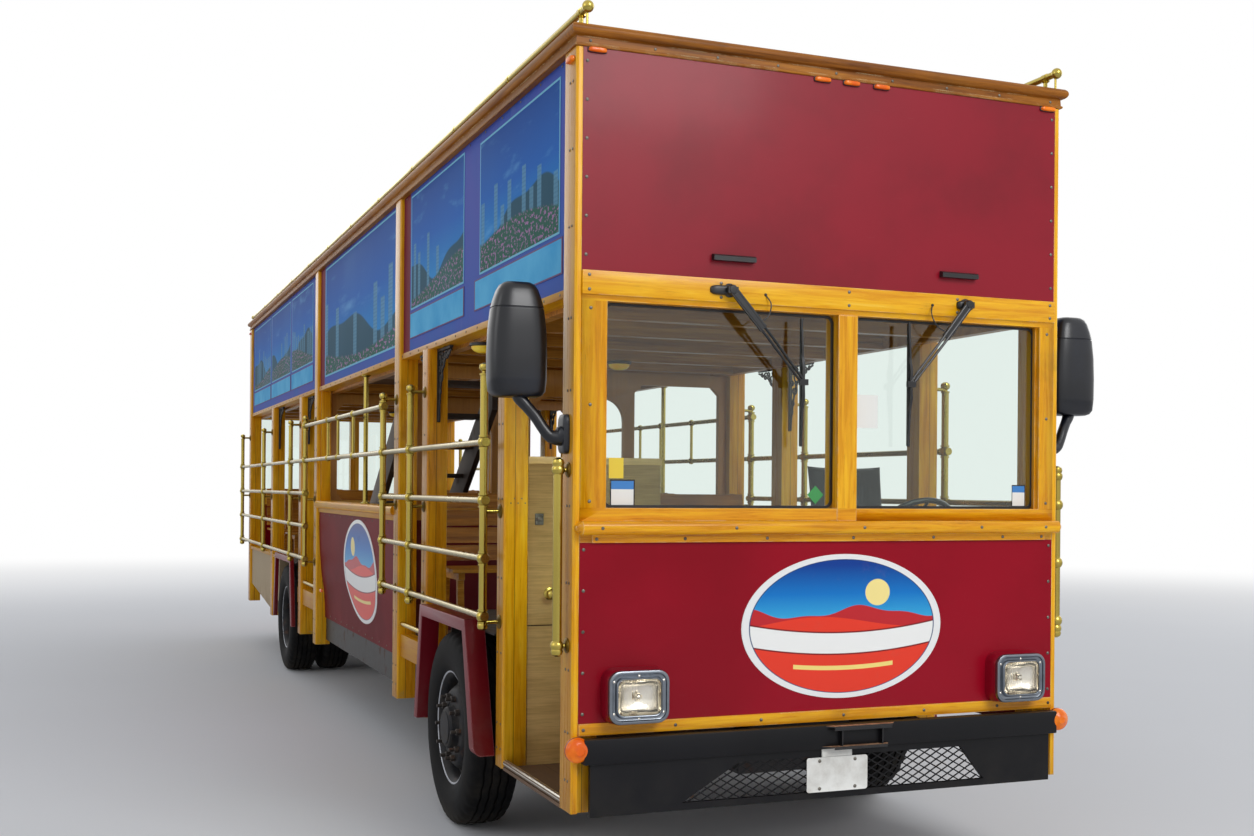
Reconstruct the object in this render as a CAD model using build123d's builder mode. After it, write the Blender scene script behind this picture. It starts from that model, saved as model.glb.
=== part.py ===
from build123d import *
from math import pi, tan
import os

os.makedirs("parts", exist_ok=True)

# Body envelope. Runs are measured back from the front face, heights up from the road,
# and the street side (the bus's own left) is +X.
body_length = 11480.0
half_width = 1220.0
headlamp_proud = 90.0
rear_bumper_proud = 110.0
front_face = -(body_length + rear_bumper_proud - headlamp_proud) / 2

# Wall build-up, shared by posts and panels.
wall_inner = 1100.0
panel_outer = 1195.0
skin = 20.0
end_wall = 95.0
skin_edge = 1190.0

# Heights.
post_bottom = 430.0
floor_top = 850.0
floor_under = 815.0
belt_low = 1555.0
belt_mid = 1590.0
belt_top = 1650.0
deck_beam_low = 2560.0
opening_top = 2580.0
deck_under = 2640.0
deck_top = 2690.0
upper_wall_top = 3597.0
flat_trim_top = 3640.0
moulding_top = 3690.0
handrail_z = 3755.0

# Wheels and steering.
front_axle_run = 1780.0
rear_axle_run = 8350.0
axle_z = 505.0
tyre_radius = 505.0
tyre_half = 135.0
bead_radius = 286.0
front_wheel_x = 1155.0
rear_outer_x = 1100.0
rear_inner_x = 790.0
kingpin_x = 980.0
running_gap = 0.5
seat_gap = 0.3
ring_sides = 16


def block(across, run, height, mode=Mode.ADD):
    low = (across[0], front_face + run[0], height[0])
    size = (across[1] - across[0], run[1] - run[0], height[1] - height[0])
    with Locations(low):
        Box(*size, align=Align.MIN, mode=mode)


def rod(start, end, radius, mode=Mode.ADD):
    first = Vector(start[0], front_face + start[1], start[2])
    way = Vector(end[0], front_face + end[1], end[2]) - first
    with Locations(Plane(origin=first, z_dir=way)):
        Cylinder(radius, way.length, align=(Align.CENTER, Align.CENTER, Align.MIN), mode=mode)


def bar(start, end, radius, sides=8):
    # a straight bar drawn with a few flats, one of them facing up, so that long repeats stay light
    first = Vector(start[0], front_face + start[1], start[2])
    way = Vector(end[0], front_face + end[1], end[2]) - first
    aside = (1, 0, 0) if abs(way.X) < 0.5 * way.length else (0, 1, 0)
    with BuildSketch(Plane(origin=first, x_dir=aside, z_dir=way)) as outline:
        RegularPolygon(radius, sides, major_radius=False, rotation=180 / sides)
    extrude(to_extrude=outline.sketch, amount=way.length)


def ringed(centre, side, section, sides=ring_sides):
    # a flat-sided turned piece about the wheel's axle line: one slice of the section, repeated round it;
    # section is the closed outline's (outward offset, radius) corners
    reach = 1.2 * max(radius for offset, radius in section)
    half_chord = reach * tan(pi / sides)
    with BuildPart(mode=Mode.PRIVATE) as slice_of_ring:
        with BuildSketch(Plane.XZ):
            Polygon(*[(radius, offset) for offset, radius in section], align=None)
        extrude(amount=half_chord, both=True)
        with BuildSketch(Plane.XY.offset(-reach)) as sector:
            Polygon((0, 0), (reach, -half_chord), (reach, half_chord), align=None)
        extrude(to_extrude=sector.sketch, amount=2 * reach, mode=Mode.INTERSECT)
    origin = (side * centre[0], front_face + centre[1], centre[2])
    with Locations(Plane(origin=origin, x_dir=(0, 0, 1), z_dir=(side, 0, 0))):
        with PolarLocations(0, sides):
            add(slice_of_ring.part)


def side_prism(points, across, mode=Mode.ADD):
    # points are (run, height) pairs, drawn on a plane that looks along X
    plane = Plane(origin=(across[0], front_face, 0), x_dir=(0, 1, 0), z_dir=(1, 0, 0))
    with BuildSketch(plane) as outline:
        Polygon(*points, align=None)
    extrude(to_extrude=outline.sketch, amount=across[1] - across[0], mode=mode)


def cross_prism(points, run, mode=Mode.ADD):
    # points are (across, height) pairs, drawn on a plane that looks back from the front
    plane = Plane(origin=(0, front_face + run[1], 0), x_dir=(1, 0, 0), z_dir=(0, -1, 0))
    with BuildSketch(plane) as outline:
        Polygon(*points, align=None)
    extrude(to_extrude=outline.sketch, amount=run[1] - run[0], mode=mode)


def save(piece, name):
    piece.part.label = name
    export_step(piece.part, f"parts/{name}.step")


# Posts: (run low, run high, top height)
main_posts = ((3330.0, 3480.0, upper_wall_top), (6545.0, 6695.0, upper_wall_top))
short_posts = ((990.0, 1110.0, opening_top), (2560.0, 2700.0, opening_top),
               (7415.0, 7565.0, opening_top), (9355.0, 9505.0, opening_top))
corner_depth = 150.0
post_ease = 8.0
rear_post_run = body_length - corner_depth

with BuildPart() as posts:
    block((wall_inner, half_width), (skin, corner_depth), (post_bottom, upper_wall_top))
    block((skin_edge, half_width), (0, skin), (post_bottom, upper_wall_top))
    block((wall_inner, half_width), (rear_post_run, body_length - skin), (post_bottom, upper_wall_top))
    block((skin_edge, half_width), (body_length - skin, body_length), (post_bottom, upper_wall_top))
    for run_low, run_high, top in main_posts + short_posts:
        block((wall_inner, half_width), (run_low, run_high), (post_bottom, top))
    chamfer(posts.edges().filter_by(Axis.Z).group_by(Axis.X)[-1], post_ease)
    mirror(about=Plane.YZ)
save(posts, "posts")

# Upper deck side walls: (run low, run high) of each bay between main posts
upper_bays = ((corner_depth, 3330.0), (3480.0, 6545.0), (6695.0, rear_post_run))
trim_strip = 35.0
trim_proud = 10.0

with BuildPart() as upper_side_panels:
    for run_low, run_high in upper_bays:
        block((wall_inner, panel_outer), (run_low, run_high), (opening_top + trim_strip, upper_wall_top))
    mirror(about=Plane.YZ)
save(upper_side_panels, "upper_side_panels")

# Front and rear faces
header_low = 2576.0
header_top = 2676.0
header_proud = 12.0
glass_low = 1693.0
glass_high = 2552.0
sill_low = 1639.0
bead_low = 1581.0
bead_proud = 60.0
strip_low = 1548.0
lower_panel_low = 801.0
base_strip_low = 751.0
frame_depth = 110.0
pane_edges = (-1076.0, 20.0, 118.0, 1108.0)
pane_run = (44.0, 52.0)
headlamps = ((-950.0, 912.0), (960.0, 912.0))
rear = body_length

with BuildPart() as upper_end_panels:
    block((-skin_edge, skin_edge), (0, skin), (header_top, upper_wall_top))
    block((-wall_inner, wall_inner), (skin, end_wall), (header_top, upper_wall_top))
    block((-skin_edge, skin_edge), (rear - skin, rear), (header_top, upper_wall_top))
    block((-wall_inner, wall_inner), (rear - end_wall, rear - skin), (header_top, upper_wall_top))
save(upper_end_panels, "upper_end_panels")

with BuildPart() as end_woodwork:
    block((-half_width + 5, half_width - 5), (-bead_proud, 0), (bead_low, sill_low))
    fillet(end_woodwork.edges().filter_by(Axis.X).group_by(Axis.Y)[0], 24)
    chamfer(end_woodwork.edges().filter_by(Axis.Z).group_by(Axis.Y)[0], 22)
    block((-skin_edge, skin_edge), (0, skin), (bead_low, sill_low))
    block((-wall_inner, wall_inner), (skin, frame_depth), (bead_low, sill_low))
    block((-1140, 1140), (-14, 0), (strip_low, bead_low))
    block((-skin_edge, skin_edge), (0, skin), (strip_low, bead_low))
    block((-skin_edge, skin_edge), (-8, skin), (base_strip_low, lower_panel_low))
    block((-skin_edge, skin_edge), (-header_proud, skin), (header_low, header_top))
    block((-wall_inner, wall_inner), (skin, end_wall), (header_low, header_top))
    block((-wall_inner, wall_inner), (end_wall, frame_depth), (header_low, deck_under))
    block((-skin_edge, skin_edge), (-4, skin), (glass_high, header_low))
    block((-wall_inner, wall_inner), (skin, frame_depth), (glass_high, header_low))
    block((-skin_edge, pane_edges[0]), (-4, skin), (sill_low, glass_high))
    block((-wall_inner, pane_edges[0]), (skin, frame_depth), (sill_low, glass_high))
    block((pane_edges[1], pane_edges[2]), (-8, frame_depth), (sill_low, glass_high))
    block((pane_edges[3], skin_edge), (-4, skin), (sill_low, glass_high))
    block((-skin_edge, skin_edge), (-4, skin), (sill_low, glass_low))
    block((-wall_inner, wall_inner), (skin, frame_depth), (sill_low, glass_low))
    block((-skin_edge, skin_edge), (rear - skin, rear + header_proud), (glass_high, header_top))
    block((-wall_inner, wall_inner), (rear - end_wall, rear - skin), (glass_high, header_top))
    block((-wall_inner, wall_inner), (rear - frame_depth, rear - end_wall), (glass_high, deck_under))
    block((-skin_edge, skin_edge), (rear - skin, rear + header_proud), (belt_low, glass_low))
    block((-wall_inner, wall_inner), (rear - frame_depth, rear - skin), (belt_low, glass_low))
    for low, high in ((-skin_edge, -wall_inner), (wall_inner, skin_edge)):
        block((low, high), (rear - skin, rear), (glass_low, glass_high))
    block((-50, 50), (rear - frame_depth, rear), (glass_low, glass_high))
save(end_woodwork, "end_woodwork")

with BuildPart() as glazing:
    block((pane_edges[0], pane_edges[1]), pane_run, (glass_low, glass_high))
    block((pane_edges[2], wall_inner), pane_run, (glass_low, glass_high))
    for low, high in ((-wall_inner, -50), (50, wall_inner)):
        block((low, high), (rear - 52, rear - 44), (glass_low, glass_high))
    for across, height in headlamps:
        block((across - 94, across + 94), (-headlamp_proud + 3, -76), (height - 74, height + 74))
save(glazing, "glazing")

with BuildPart() as lower_end_panels:
    block((-skin_edge, skin_edge), (0, skin), (lower_panel_low, strip_low))
    block((-wall_inner, wall_inner), (skin, 60), (base_strip_low, bead_low))
    block((-skin_edge, skin_edge), (rear - skin, rear), (700, belt_low))
    block((-wall_inner, wall_inner), (rear - 60, rear - skin), (700, belt_low))
save(lower_end_panels, "lower_end_panels")

bumper_low = 639.0
bumper_top = 743.0
bumper_half = 1182.0
bumper_depth = 60.0
with BuildPart() as bumpers:
    block((-1180, 1180), (rear + 30, rear + rear_bumper_proud), (560, 690))
    fillet(bumpers.edges().filter_by(Axis.Z).group_by(Axis.Y)[-1], 40)
    block((-bumper_half, bumper_half), (-bumper_depth, -10), (bumper_low, bumper_top))
    for across in ((-460, -380), (380, 460)):
        block(across, (-10, 62), (bumper_low, bumper_top))
        block(across, (rear - 62, rear + 30), (590, 680))
save(bumpers, "bumpers")

valance_low = 420.0
valance_half = 1150.0
mesh_shape = ((-470.0, 606.0), (656.0, 606.0), (784.0, 450.0), (-737.0, 450.0))
mesh_run = (-34.0, -28.0)
mesh_pitch = 230.0
mesh_bar = 6.0
mesh_slope = 27.0
with BuildPart() as front_valance:
    block((-valance_half, valance_half), (-40, -20), (valance_low, bumper_low))
    cross_prism(mesh_shape, (-41, -19), mode=Mode.SUBTRACT)
    mesh_plane = Plane(origin=(0, front_face + mesh_run[1], 0), x_dir=(1, 0, 0), z_dir=(0, -1, 0))
    with BuildSketch(mesh_plane) as mesh_lines:
        with Locations((23, 528)):
            with GridLocations(mesh_pitch, 1, 8, 1):
                Rectangle(420, mesh_bar, rotation=mesh_slope)
                Rectangle(420, mesh_bar, rotation=-mesh_slope)
        Polygon(*mesh_shape, align=None, mode=Mode.INTERSECT)
    extrude(to_extrude=mesh_lines.sketch, amount=mesh_run[1] - mesh_run[0])
save(front_valance, "front_valance")

plate_size = (305.0, 152.0)
plate_z = 527.0
with BuildPart() as number_plate:
    plate_plane = Plane(origin=(5, front_face - 49, plate_z), x_dir=(1, 0, 0), z_dir=(0, -1, 0))
    with BuildSketch(plate_plane) as plate_corners:
        Rectangle(*plate_size)
        chamfer(plate_corners.vertices(), 9)
        with GridLocations(177.8, 120.65, 2, 2):
            Circle(3.5, mode=Mode.SUBTRACT)
    extrude(amount=3)
    block((-70, 80), (-49, -40), (plate_z - 40, bumper_low))
save(number_plate, "number_plate")

# Headlamps stand out of the lower panel, in housings with a bright surround
lamp_width = 270.0
lamp_height = 220.0
with BuildPart() as headlamp_pair:
    for across, height in headlamps:
        block((across - lamp_width / 2, across + lamp_width / 2), (-70, 0),
              (height - lamp_height / 2, height + lamp_height / 2))
    fillet(headlamp_pair.edges().filter_by(Axis.Y), 40)
    for across, height in headlamps:
        block((across - 120, across + 120), (-headlamp_proud, -70), (height - 98, height + 98))
    bezel_edges = headlamp_pair.edges().filter_by(Axis.Y)
    chamfer(bezel_edges.filter_by(lambda edge: edge.center().Y < front_face - 71), 26)
    for across, height in headlamps:
        block((across - 95, across + 95), (-headlamp_proud, -76), (height - 75, height + 75),
              mode=Mode.SUBTRACT)
save(headlamp_pair, "headlamps")

# Marker lamps along the top of the front panel, and low on the middle bay's rear end
turn_lamp_z = 700.0
turn_lamp_x = 1205.0
tail_lamp_x = 1040.0
tail_lamp_heights = (1380.0, 1230.0, 1080.0)
front_markers = (-1130.0, -70.0, 77.0, 232.0, 1144.0)
with BuildPart() as lamps:
    for across in front_markers:
        block((across - 42, across + 42), (-22, 0), (3576, 3597))
    for side in (-1, 1):
        for run in (60, body_length - 60):
            low, high = sorted((side * half_width, side * (half_width + 20)))
            block((low, high), (run - 40, run + 40), (3540, 3565))
    for across in front_markers:
        block((across - 42, across + 42), (body_length, body_length + 22), (3576, 3597))
    for side in (-1, 1):
        bar((side * turn_lamp_x, -70, turn_lamp_z), (side * turn_lamp_x, -10, turn_lamp_z), 53, 10)
    for side in (-1, 1):
        low, high = sorted((side * bumper_half, side * (bumper_half + 25)))
        block((low, high), (-60, -12), (turn_lamp_z - 20, turn_lamp_z + 20))
    for side in (-1, 1):
        low, high = sorted((side * 1100, side * bumper_half))
        block((low, high), (-90, -10), (bumper_low - 1, bumper_top + 30), mode=Mode.SUBTRACT)
    for height in tail_lamp_heights:
        for side in (-1, 1):
            bar((side * tail_lamp_x, rear, height), (side * tail_lamp_x, rear + 28, height), 55)
save(lamps, "lamps")

# Wipers: (pivot across, pivot height, blade across, blade centre height)
wiper_table = ((-522.0, 2627.0, -178.0, 2244.0), (680.0, 2630.0, 371.0, 2254.0))
# Hooded vents above the header: (across low, across high)
hooded_vents = ((-600.0, -400.0), (550.0, 745.0))
with BuildPart() as wipers_and_vents:
    for across_low, across_high in hooded_vents:
        block((across_low, across_high), (-26, 0), (2752, 2780))
        block((across_low + 8, across_high - 8), (-30, -6), (2748, 2772), mode=Mode.SUBTRACT)
    for pivot_x, pivot_z, blade_x, blade_z in wiper_table:
        bar((pivot_x, -header_proud, pivot_z), (pivot_x, -60, pivot_z), 22, 12)
        for lift in (-17, 17):
            bar((pivot_x + lift, -50, pivot_z + 5), (blade_x + lift * 0.6, -46, blade_z), 6, 4)
        block((blade_x - 22, blade_x + 22), (-60, -38), (blade_z - 16, blade_z + 16))
        block((blade_x - 9, blade_x + 9), (-44, -14), (blade_z - 280, blade_z + 280))
save(wipers_and_vents, "wipers_and_vents")

# Mirrors on bent arms from the corner posts
mirror_x = (1290.0, 1540.0)
mirror_run = (85.0, 255.0)
mirror_z = (2150.0, 2632.0)
mirror_shoulder = 2520.0
mirror_taper = 16.0
with BuildPart() as mirrors:
    head_middle = (sum(mirror_x) / 2, front_face + sum(mirror_run) / 2, mirror_z[0])
    with BuildSketch(Plane(origin=head_middle)) as head_outline:
        Rectangle(mirror_x[1] - mirror_x[0], mirror_run[1] - mirror_run[0])
        chamfer(head_outline.vertices(), 46)
    extrude(amount=mirror_shoulder - mirror_z[0])
    chamfer(mirrors.edges().group_by(Axis.Z)[0], 14)
    shoulder = mirrors.faces().sort_by(Axis.Z)[-1]
    extrude(to_extrude=shoulder, amount=mirror_z[1] - mirror_shoulder, taper=mirror_taper)
    elbow = (1328, 95, 2018)
    bar((half_width + 10, 95, 1995), elbow, 30)
    bar((1316, 95, 2004), (1400, 140, 2170), 28)
    block((half_width, 1246), (45, 145), (1916, 2083))
    block((mirror_x[0] + 22, mirror_x[1] - 22), (mirror_run[1], mirror_run[1] + 4),
          (mirror_z[0] + 30, mirror_z[1] - 60))
    mirror(about=Plane.YZ)
save(mirrors, "mirrors")

# Top mouldings, a ring round the open upper deck
ring_inner = wall_inner
with BuildPart() as top_moulding:
    block((-half_width - 2, half_width + 2), (-2, body_length + 2), (upper_wall_top, flat_trim_top))
    block((-half_width - 25, half_width + 25), (-25, body_length + 25), (flat_trim_top, moulding_top))
    fillet(top_moulding.edges().group_by(Axis.Z)[-1], 24)
    block((-ring_inner, ring_inner), (end_wall, body_length - end_wall), (upper_wall_top - 1, moulding_top + 1),
          mode=Mode.SUBTRACT)
save(top_moulding, "top_moulding")

handrail_x = 1180.0
handrail_radius = 16.0
handrail_knob = 26.0
handrail_ends = (-20.0, body_length + 20)
stanchion_runs = tuple(60 + step * (body_length - 120) / 11 for step in range(12))
stair_guard_z = 3640.0
guard_runs = (3720.0, 4390.0, 5060.0, 5730.0)
with BuildPart() as deck_handrails:
    bar((handrail_x, handrail_ends[0], handrail_z), (handrail_x, handrail_ends[1], handrail_z), handrail_radius)
    for run in handrail_ends:
        bar((handrail_x, run - handrail_knob, handrail_z), (handrail_x, run + handrail_knob, handrail_z),
            handrail_knob)
    for run in stanchion_runs:
        bar((handrail_x, run, moulding_top), (handrail_x, run, handrail_z - handrail_radius - seat_gap), 12, 4)
    mirror(about=Plane.YZ)
    for run in guard_runs:
        bar((-410, run, deck_top), (-410, run, stair_guard_z + 20), 20)
    for low, high in zip(guard_runs, guard_runs[1:]):
        for height in (3165.0, stair_guard_z - 20):
            bar((-410, low + 20 + seat_gap, height), (-410, high - 20 - seat_gap, height), 16, 4)
    for height in (3165.0, stair_guard_z - 20):
        bar((-430 - seat_gap, guard_runs[-1], height), (-wall_inner, guard_runs[-1], height), 16, 4)
save(deck_handrails, "deck_handrails")

# Side rails: brass poles that stand off the posts, with bars from pole to pole
pole_x = 1305.0
pole_radius = 19.5
bar_radius = 16.0
standoff_radius = 10.0
pole_span = (1108.0, 2352.0)
standoff_heights = (1128.0, 1660.0, 2330.0)
pole_runs = (1050.0, 2630.0, 3405.0, 6620.0, 7490.0, 9430.0, body_length - 100)
# Bars: (height, numbers of the bays that it crosses)
rail_bars = ((1156.0, (0, 1, 3, 4, 5)), (1434.0, (0, 1, 3, 4, 5)), (1712.0, (0, 1, 3, 4, 5)),
             (1991.0, (0, 1, 2, 3, 4, 5)), (2285.0, (2,)))
balusters = (4430.0, 5040.0, 5480.0)
front_pole_x = 1265.0
front_pole_run = 60.0
front_pole_span = (1095.0, 1880.0)
low_bars = ((2700.0, 3330.0), (6695.0, 7415.0))
low_bar_z = 905.0
sill_pole_run = 4670.0
standoff_reach = pole_radius + seat_gap
with BuildPart() as side_rails:
    for run in pole_runs:
        bar((pole_x, run, pole_span[0]), (pole_x, run, pole_span[1]), pole_radius)
        for height in standoff_heights:
            bar((half_width, run, height), (pole_x - standoff_reach, run, height), standoff_radius, 4)
    for height, bays in rail_bars:
        for bay in bays:
            start = pole_runs[bay] + standoff_reach
            end = pole_runs[bay + 1] - standoff_reach
            bar((pole_x, start, height), (pole_x, end, height), bar_radius, 4)
    for run in balusters:
        bar((pole_x, run, 1991 + bar_radius + seat_gap), (pole_x, run, 2285 - bar_radius - seat_gap), 11, 4)
    bar((front_pole_x, front_pole_run, front_pole_span[0]), (front_pole_x, front_pole_run, front_pole_span[1]),
        pole_radius)
    for height in (1120, 1850):
        bar((half_width, front_pole_run, height), (front_pole_x - standoff_reach, front_pole_run, height),
            standoff_radius, 4)
    for run_low, run_high in low_bars:
        bar((1190, run_low, low_bar_z), (1190, run_high, low_bar_z), bar_radius, 4)
    bar((1170, sill_pole_run, belt_top), (1170, sill_pole_run, opening_top), 17)
    mirror(about=Plane.YZ)
    for height in (1156, 1434, 1712):
        bar((front_pole_x + 1.3, front_pole_run + pole_radius + 1, height),
            (pole_x - 1.3, pole_runs[0] - pole_radius - 1, height), bar_radius, 4)
save(side_rails, "side_rails")

# Lower sides: a tucked maroon panel under a rounded sill in the middle bay, low panels with ledges
# behind the rear wheels and beside the driver, and floor edge beams in the open bays
middle_bay = (3480.0, 6545.0)
panel_foot = 661.0
skirt_foot = 471.0
tuck = 55.0
ledge_low = 1040.0
ledges = ((8995.0, 9355.0), (9505.0, rear_post_run))
edge_beams = ((2440.0, 2560.0), (2700.0, 3330.0), (6695.0, 7415.0), (7565.0, 7720.0))
with BuildPart() as lower_side_panels:
    ogee_plane = Plane(origin=(0, front_face + middle_bay[1], 0), x_dir=(1, 0, 0), z_dir=(0, -1, 0))
    with BuildSketch(ogee_plane) as ogee:
        with BuildLine():
            top_in = (wall_inner, belt_low)
            top_out = (panel_outer, belt_low)
            mid_out = (panel_outer - tuck * 0.45, 1010)
            foot_out = (panel_outer - tuck, panel_foot)
            foot_in = (wall_inner, panel_foot)
            Line(top_in, top_out)
            ThreePointArc(top_out, (panel_outer - 4, 1280), mid_out)
            ThreePointArc(mid_out, (panel_outer - tuck + 6, 820), foot_out)
            Line(foot_out, foot_in)
            Line(foot_in, top_in)
        make_face()
    extrude(amount=middle_bay[1] - middle_bay[0])
    side_prism(((8995, 640), (9355, 470), (9355, ledge_low), (8995, ledge_low)), (wall_inner, panel_outer))
    side_prism(((9505, 470), (rear_post_run, 640), (rear_post_run, ledge_low), (9505, ledge_low)),
               (wall_inner, panel_outer))
    mirror(about=Plane.YZ)
    block((wall_inner, panel_outer), (corner_depth, 990), (661, 1110))
save(lower_side_panels, "lower_side_panels")

with BuildPart() as side_woodwork:
    block((wall_inner, 1240), middle_bay, (belt_mid, belt_top))
    fillet(side_woodwork.edges().filter_by(Axis.Y).group_by(Axis.X)[-1], 24)
    block((wall_inner, 1205), middle_bay, (belt_low, belt_mid))
    for run in (middle_bay[0] + 18, middle_bay[1] - 18):
        block((wall_inner + 10, 1190), (run - 18 + seat_gap, run + 18 - seat_gap),
              (belt_top + seat_gap, opening_top - seat_gap))
    for run_low, run_high in upper_bays:
        block((wall_inner, panel_outer + trim_proud), (run_low, run_high),
              (opening_top, opening_top + trim_strip))
    for run_low, run_high in ledges:
        block((wall_inner, 1215), (run_low, run_high), (ledge_low, ledge_low + 30))
    for run_low, run_high in edge_beams:
        block((1120, 1200), (run_low, run_high), (700, 840))
    mirror(about=Plane.YZ)
    block((wall_inner, 1212), (corner_depth, 990), (1110, 1140))
save(side_woodwork, "side_woodwork")

# Fenders: (top height, top run low, top run high, foot height, foot run low, foot run high)
fender_lip = 60.0
with BuildPart() as fenders:
    side_prism(((1112, 470), (1319, 1118), (2273, 1118), (2402, 470)), (half_width, 1325))
    side_prism(((1112 + fender_lip, 400), (1319 + 45, 1056), (2273 - 45, 1056), (2402 - fender_lip, 400)),
               (half_width - 1, 1326), mode=Mode.SUBTRACT)
    fillet(fenders.edges().group_by(Axis.X)[-1].sort_by(Axis.Y)[0], 40)
    side_prism(((7700, 470), (7830, 1110), (8870, 1110), (8990, 470)), (half_width, 1258))
    side_prism(((7700 + fender_lip, 400), (7830 + 45, 1055), (8870 - 45, 1055), (8990 - fender_lip, 400)),
               (half_width - 1, 1259), mode=Mode.SUBTRACT)
    mirror(about=Plane.YZ)
save(fenders, "fenders")

# Wheel boxes that shield the cabin: (run low, run high, inner across)
box_wall = 10.0
box_top = 1062.0
wheel_boxes = ((1130.0, 2440.0, 690.0), (7720.0, 8980.0, 620.0))
with BuildPart() as wheel_housings:
    for run_low, run_high, inner in wheel_boxes:
        plate_low = box_top - box_wall
        block((inner, wall_inner), (run_low, run_high), (plate_low, box_top))
        block((wall_inner + seat_gap, half_width), (run_low + 8, run_high - 8), (plate_low, box_top))
        block((inner, inner + box_wall), (run_low, run_high), (640, plate_low - seat_gap))
        for run in (run_low, run_high - box_wall):
            block((inner + box_wall + seat_gap, wall_inner), (run, run + box_wall), (640, plate_low - seat_gap))
    mirror(about=Plane.YZ)
save(wheel_housings, "wheel_housings")

# Scroll brackets under the upper panels: a foot on the post, a head, a brace bowed between them and a curl
bracket_depth = 12.0
bracket_rise = 420.0
bracket_reach = 300.0
strap = 20.0
brace_outer = ((bracket_reach, 34.0), (96.0, 112.0), (30.0, bracket_rise))
brace_inner = ((bracket_reach, 12.0), (78.0, 96.0), (10.0, bracket_rise))
with BuildPart() as scroll_brackets:
    for run_low, run_high, top in short_posts[1:]:
        for edge, way in ((run_low, -1), (run_high, 1)):
            bracket_plane = Plane(origin=(1150, front_face + edge, top), x_dir=(0, way, 0), z_dir=(way, 0, 0))
            with BuildSketch(bracket_plane) as bracket:
                Polygon((0, 0), (0, -bracket_rise), (strap, -bracket_rise), (strap, 0), align=None)
                Polygon((0, 0), (bracket_reach, 0), (bracket_reach, -strap), (0, -strap), align=None)
                Polygon(*[(run, -drop) for run, drop in brace_outer + brace_inner[::-1]], align=None)
                with Locations((53, -53)):
                    RegularPolygon(34, 6, major_radius=False)
            extrude(to_extrude=bracket.sketch, amount=way * bracket_depth)
    mirror(about=Plane.YZ)
save(scroll_brackets, "scroll_brackets")

# Underframe
rail_x = (380.0, 460.0)
rail_z = (590.0, 734.7)
joist_runs = (2520.0, 3405.0, 4300.0, 5200.0, 5900.0, 6620.0, 7490.0, 9430.0, 10400.0, 11250.0)
with BuildPart() as chassis_frame:
    block((520, 1080), (4350, 5850), (480, 734.7))
    chamfer(chassis_frame.edges().filter_by(Axis.Y), 50)
    for side in (-1, 1):
        block(sorted((side * rail_x[0], side * rail_x[1])), (62, rear - 62), rail_z)
        block(sorted((side * wall_inner, side * 1130)), middle_bay, (skirt_foot, panel_foot))
    for run in joist_runs:
        block((-wall_inner, wall_inner), (run - 35, run + 35), (735, floor_under))
    for run in (2200.0, 7000.0, 9000.0):
        block((-rail_x[0] + seat_gap, rail_x[0] - seat_gap), (run - 40, run + 40), (690, 734.7))
save(chassis_frame, "chassis_frame")

# Floor sheets: (across low, across high, run low, run high)
floor_sheets = ((385.0, 1100.0, 110.0, 1129.7), (-600.0, -385.0, 110.0, 1129.7),
                (-1100.0, -600.3, 1060.0, 1129.7),
                (385.0, 689.7, 1130.0, 2440.0), (-689.7, -385.0, 1130.0, 2440.0),
                (-384.7, 384.7, 1430.0, 2440.0), (-1100.0, 1100.0, 2440.3, 4700.0),
                (-1100.0, 1100.0, 4700.3, 7719.7), (-619.7, 619.7, 7720.0, 8980.0),
                (-1100.0, 1100.0, 8980.3, rear - 110))
with BuildPart() as lower_deck_floor:
    for across_low, across_high, run_low, run_high in floor_sheets:
        block((across_low, across_high), (run_low, run_high), (floor_under, floor_top))
    block((-1215, -900), (corner_depth, 990), (425, 440))
    block((-915, -900), (corner_depth, 990), (440 + seat_gap, 630 - seat_gap))
    block((-915, -600), (corner_depth, 990), (630, 645))
    block((-615, -600.3), (corner_depth, 990), (645 + seat_gap, floor_top))
    block((-1099, -600.3), (corner_depth - 10, corner_depth - seat_gap), (425, floor_top))
    bar((-1199, corner_depth, 440 + 16 + seat_gap), (-1199, 990, 440 + 16 + seat_gap), 16)
save(lower_deck_floor, "lower_deck_floor")

with BuildPart() as engine_block:
    block((-290, 290), (330, 1250), (470, 1050))
    block((-200, 200), (1250, 1990), (540, 780))
    for run in (640.0, 1800.0):
        block((-rail_x[0], rail_x[0]), (run - 40, run + 40), (600, 680))
save(engine_block, "engine_block")

# Front axle beam, with eyes for the kingpins
beam_points = ((-980, 455), (-840, 455), (-700, 400), (700, 400), (840, 455), (980, 455),
               (980, 555), (840, 555), (700, 480), (-700, 480), (-840, 555), (-980, 555))
with BuildPart() as front_axle:
    cross_prism(beam_points, (front_axle_run - 42, front_axle_run + 42))
    for side in (-1, 1):
        bar((side * kingpin_x, front_axle_run, 455), (side * kingpin_x, front_axle_run, 555), 55, 8)
    for side in (-1, 1):
        rod((side * kingpin_x, front_axle_run, 400), (side * kingpin_x, front_axle_run, 600), 25 + running_gap,
            mode=Mode.SUBTRACT)
save(front_axle, "front_axle")

with BuildPart() as rear_axle:
    bar((-880, rear_axle_run, axle_z), (880, rear_axle_run, axle_z), 60)
    rod((-1080, rear_axle_run, axle_z), (1080, rear_axle_run, axle_z), 45)
    bar((0, rear_axle_run - 90, axle_z), (0, rear_axle_run + 110, axle_z), 190, 10)
    bar((-240, rear_axle_run, axle_z), (240, rear_axle_run, axle_z), 105)
    bar((0, 1991.2, 620), (0, 8265, 505), 45)
save(rear_axle, "rear_axle")

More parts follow.
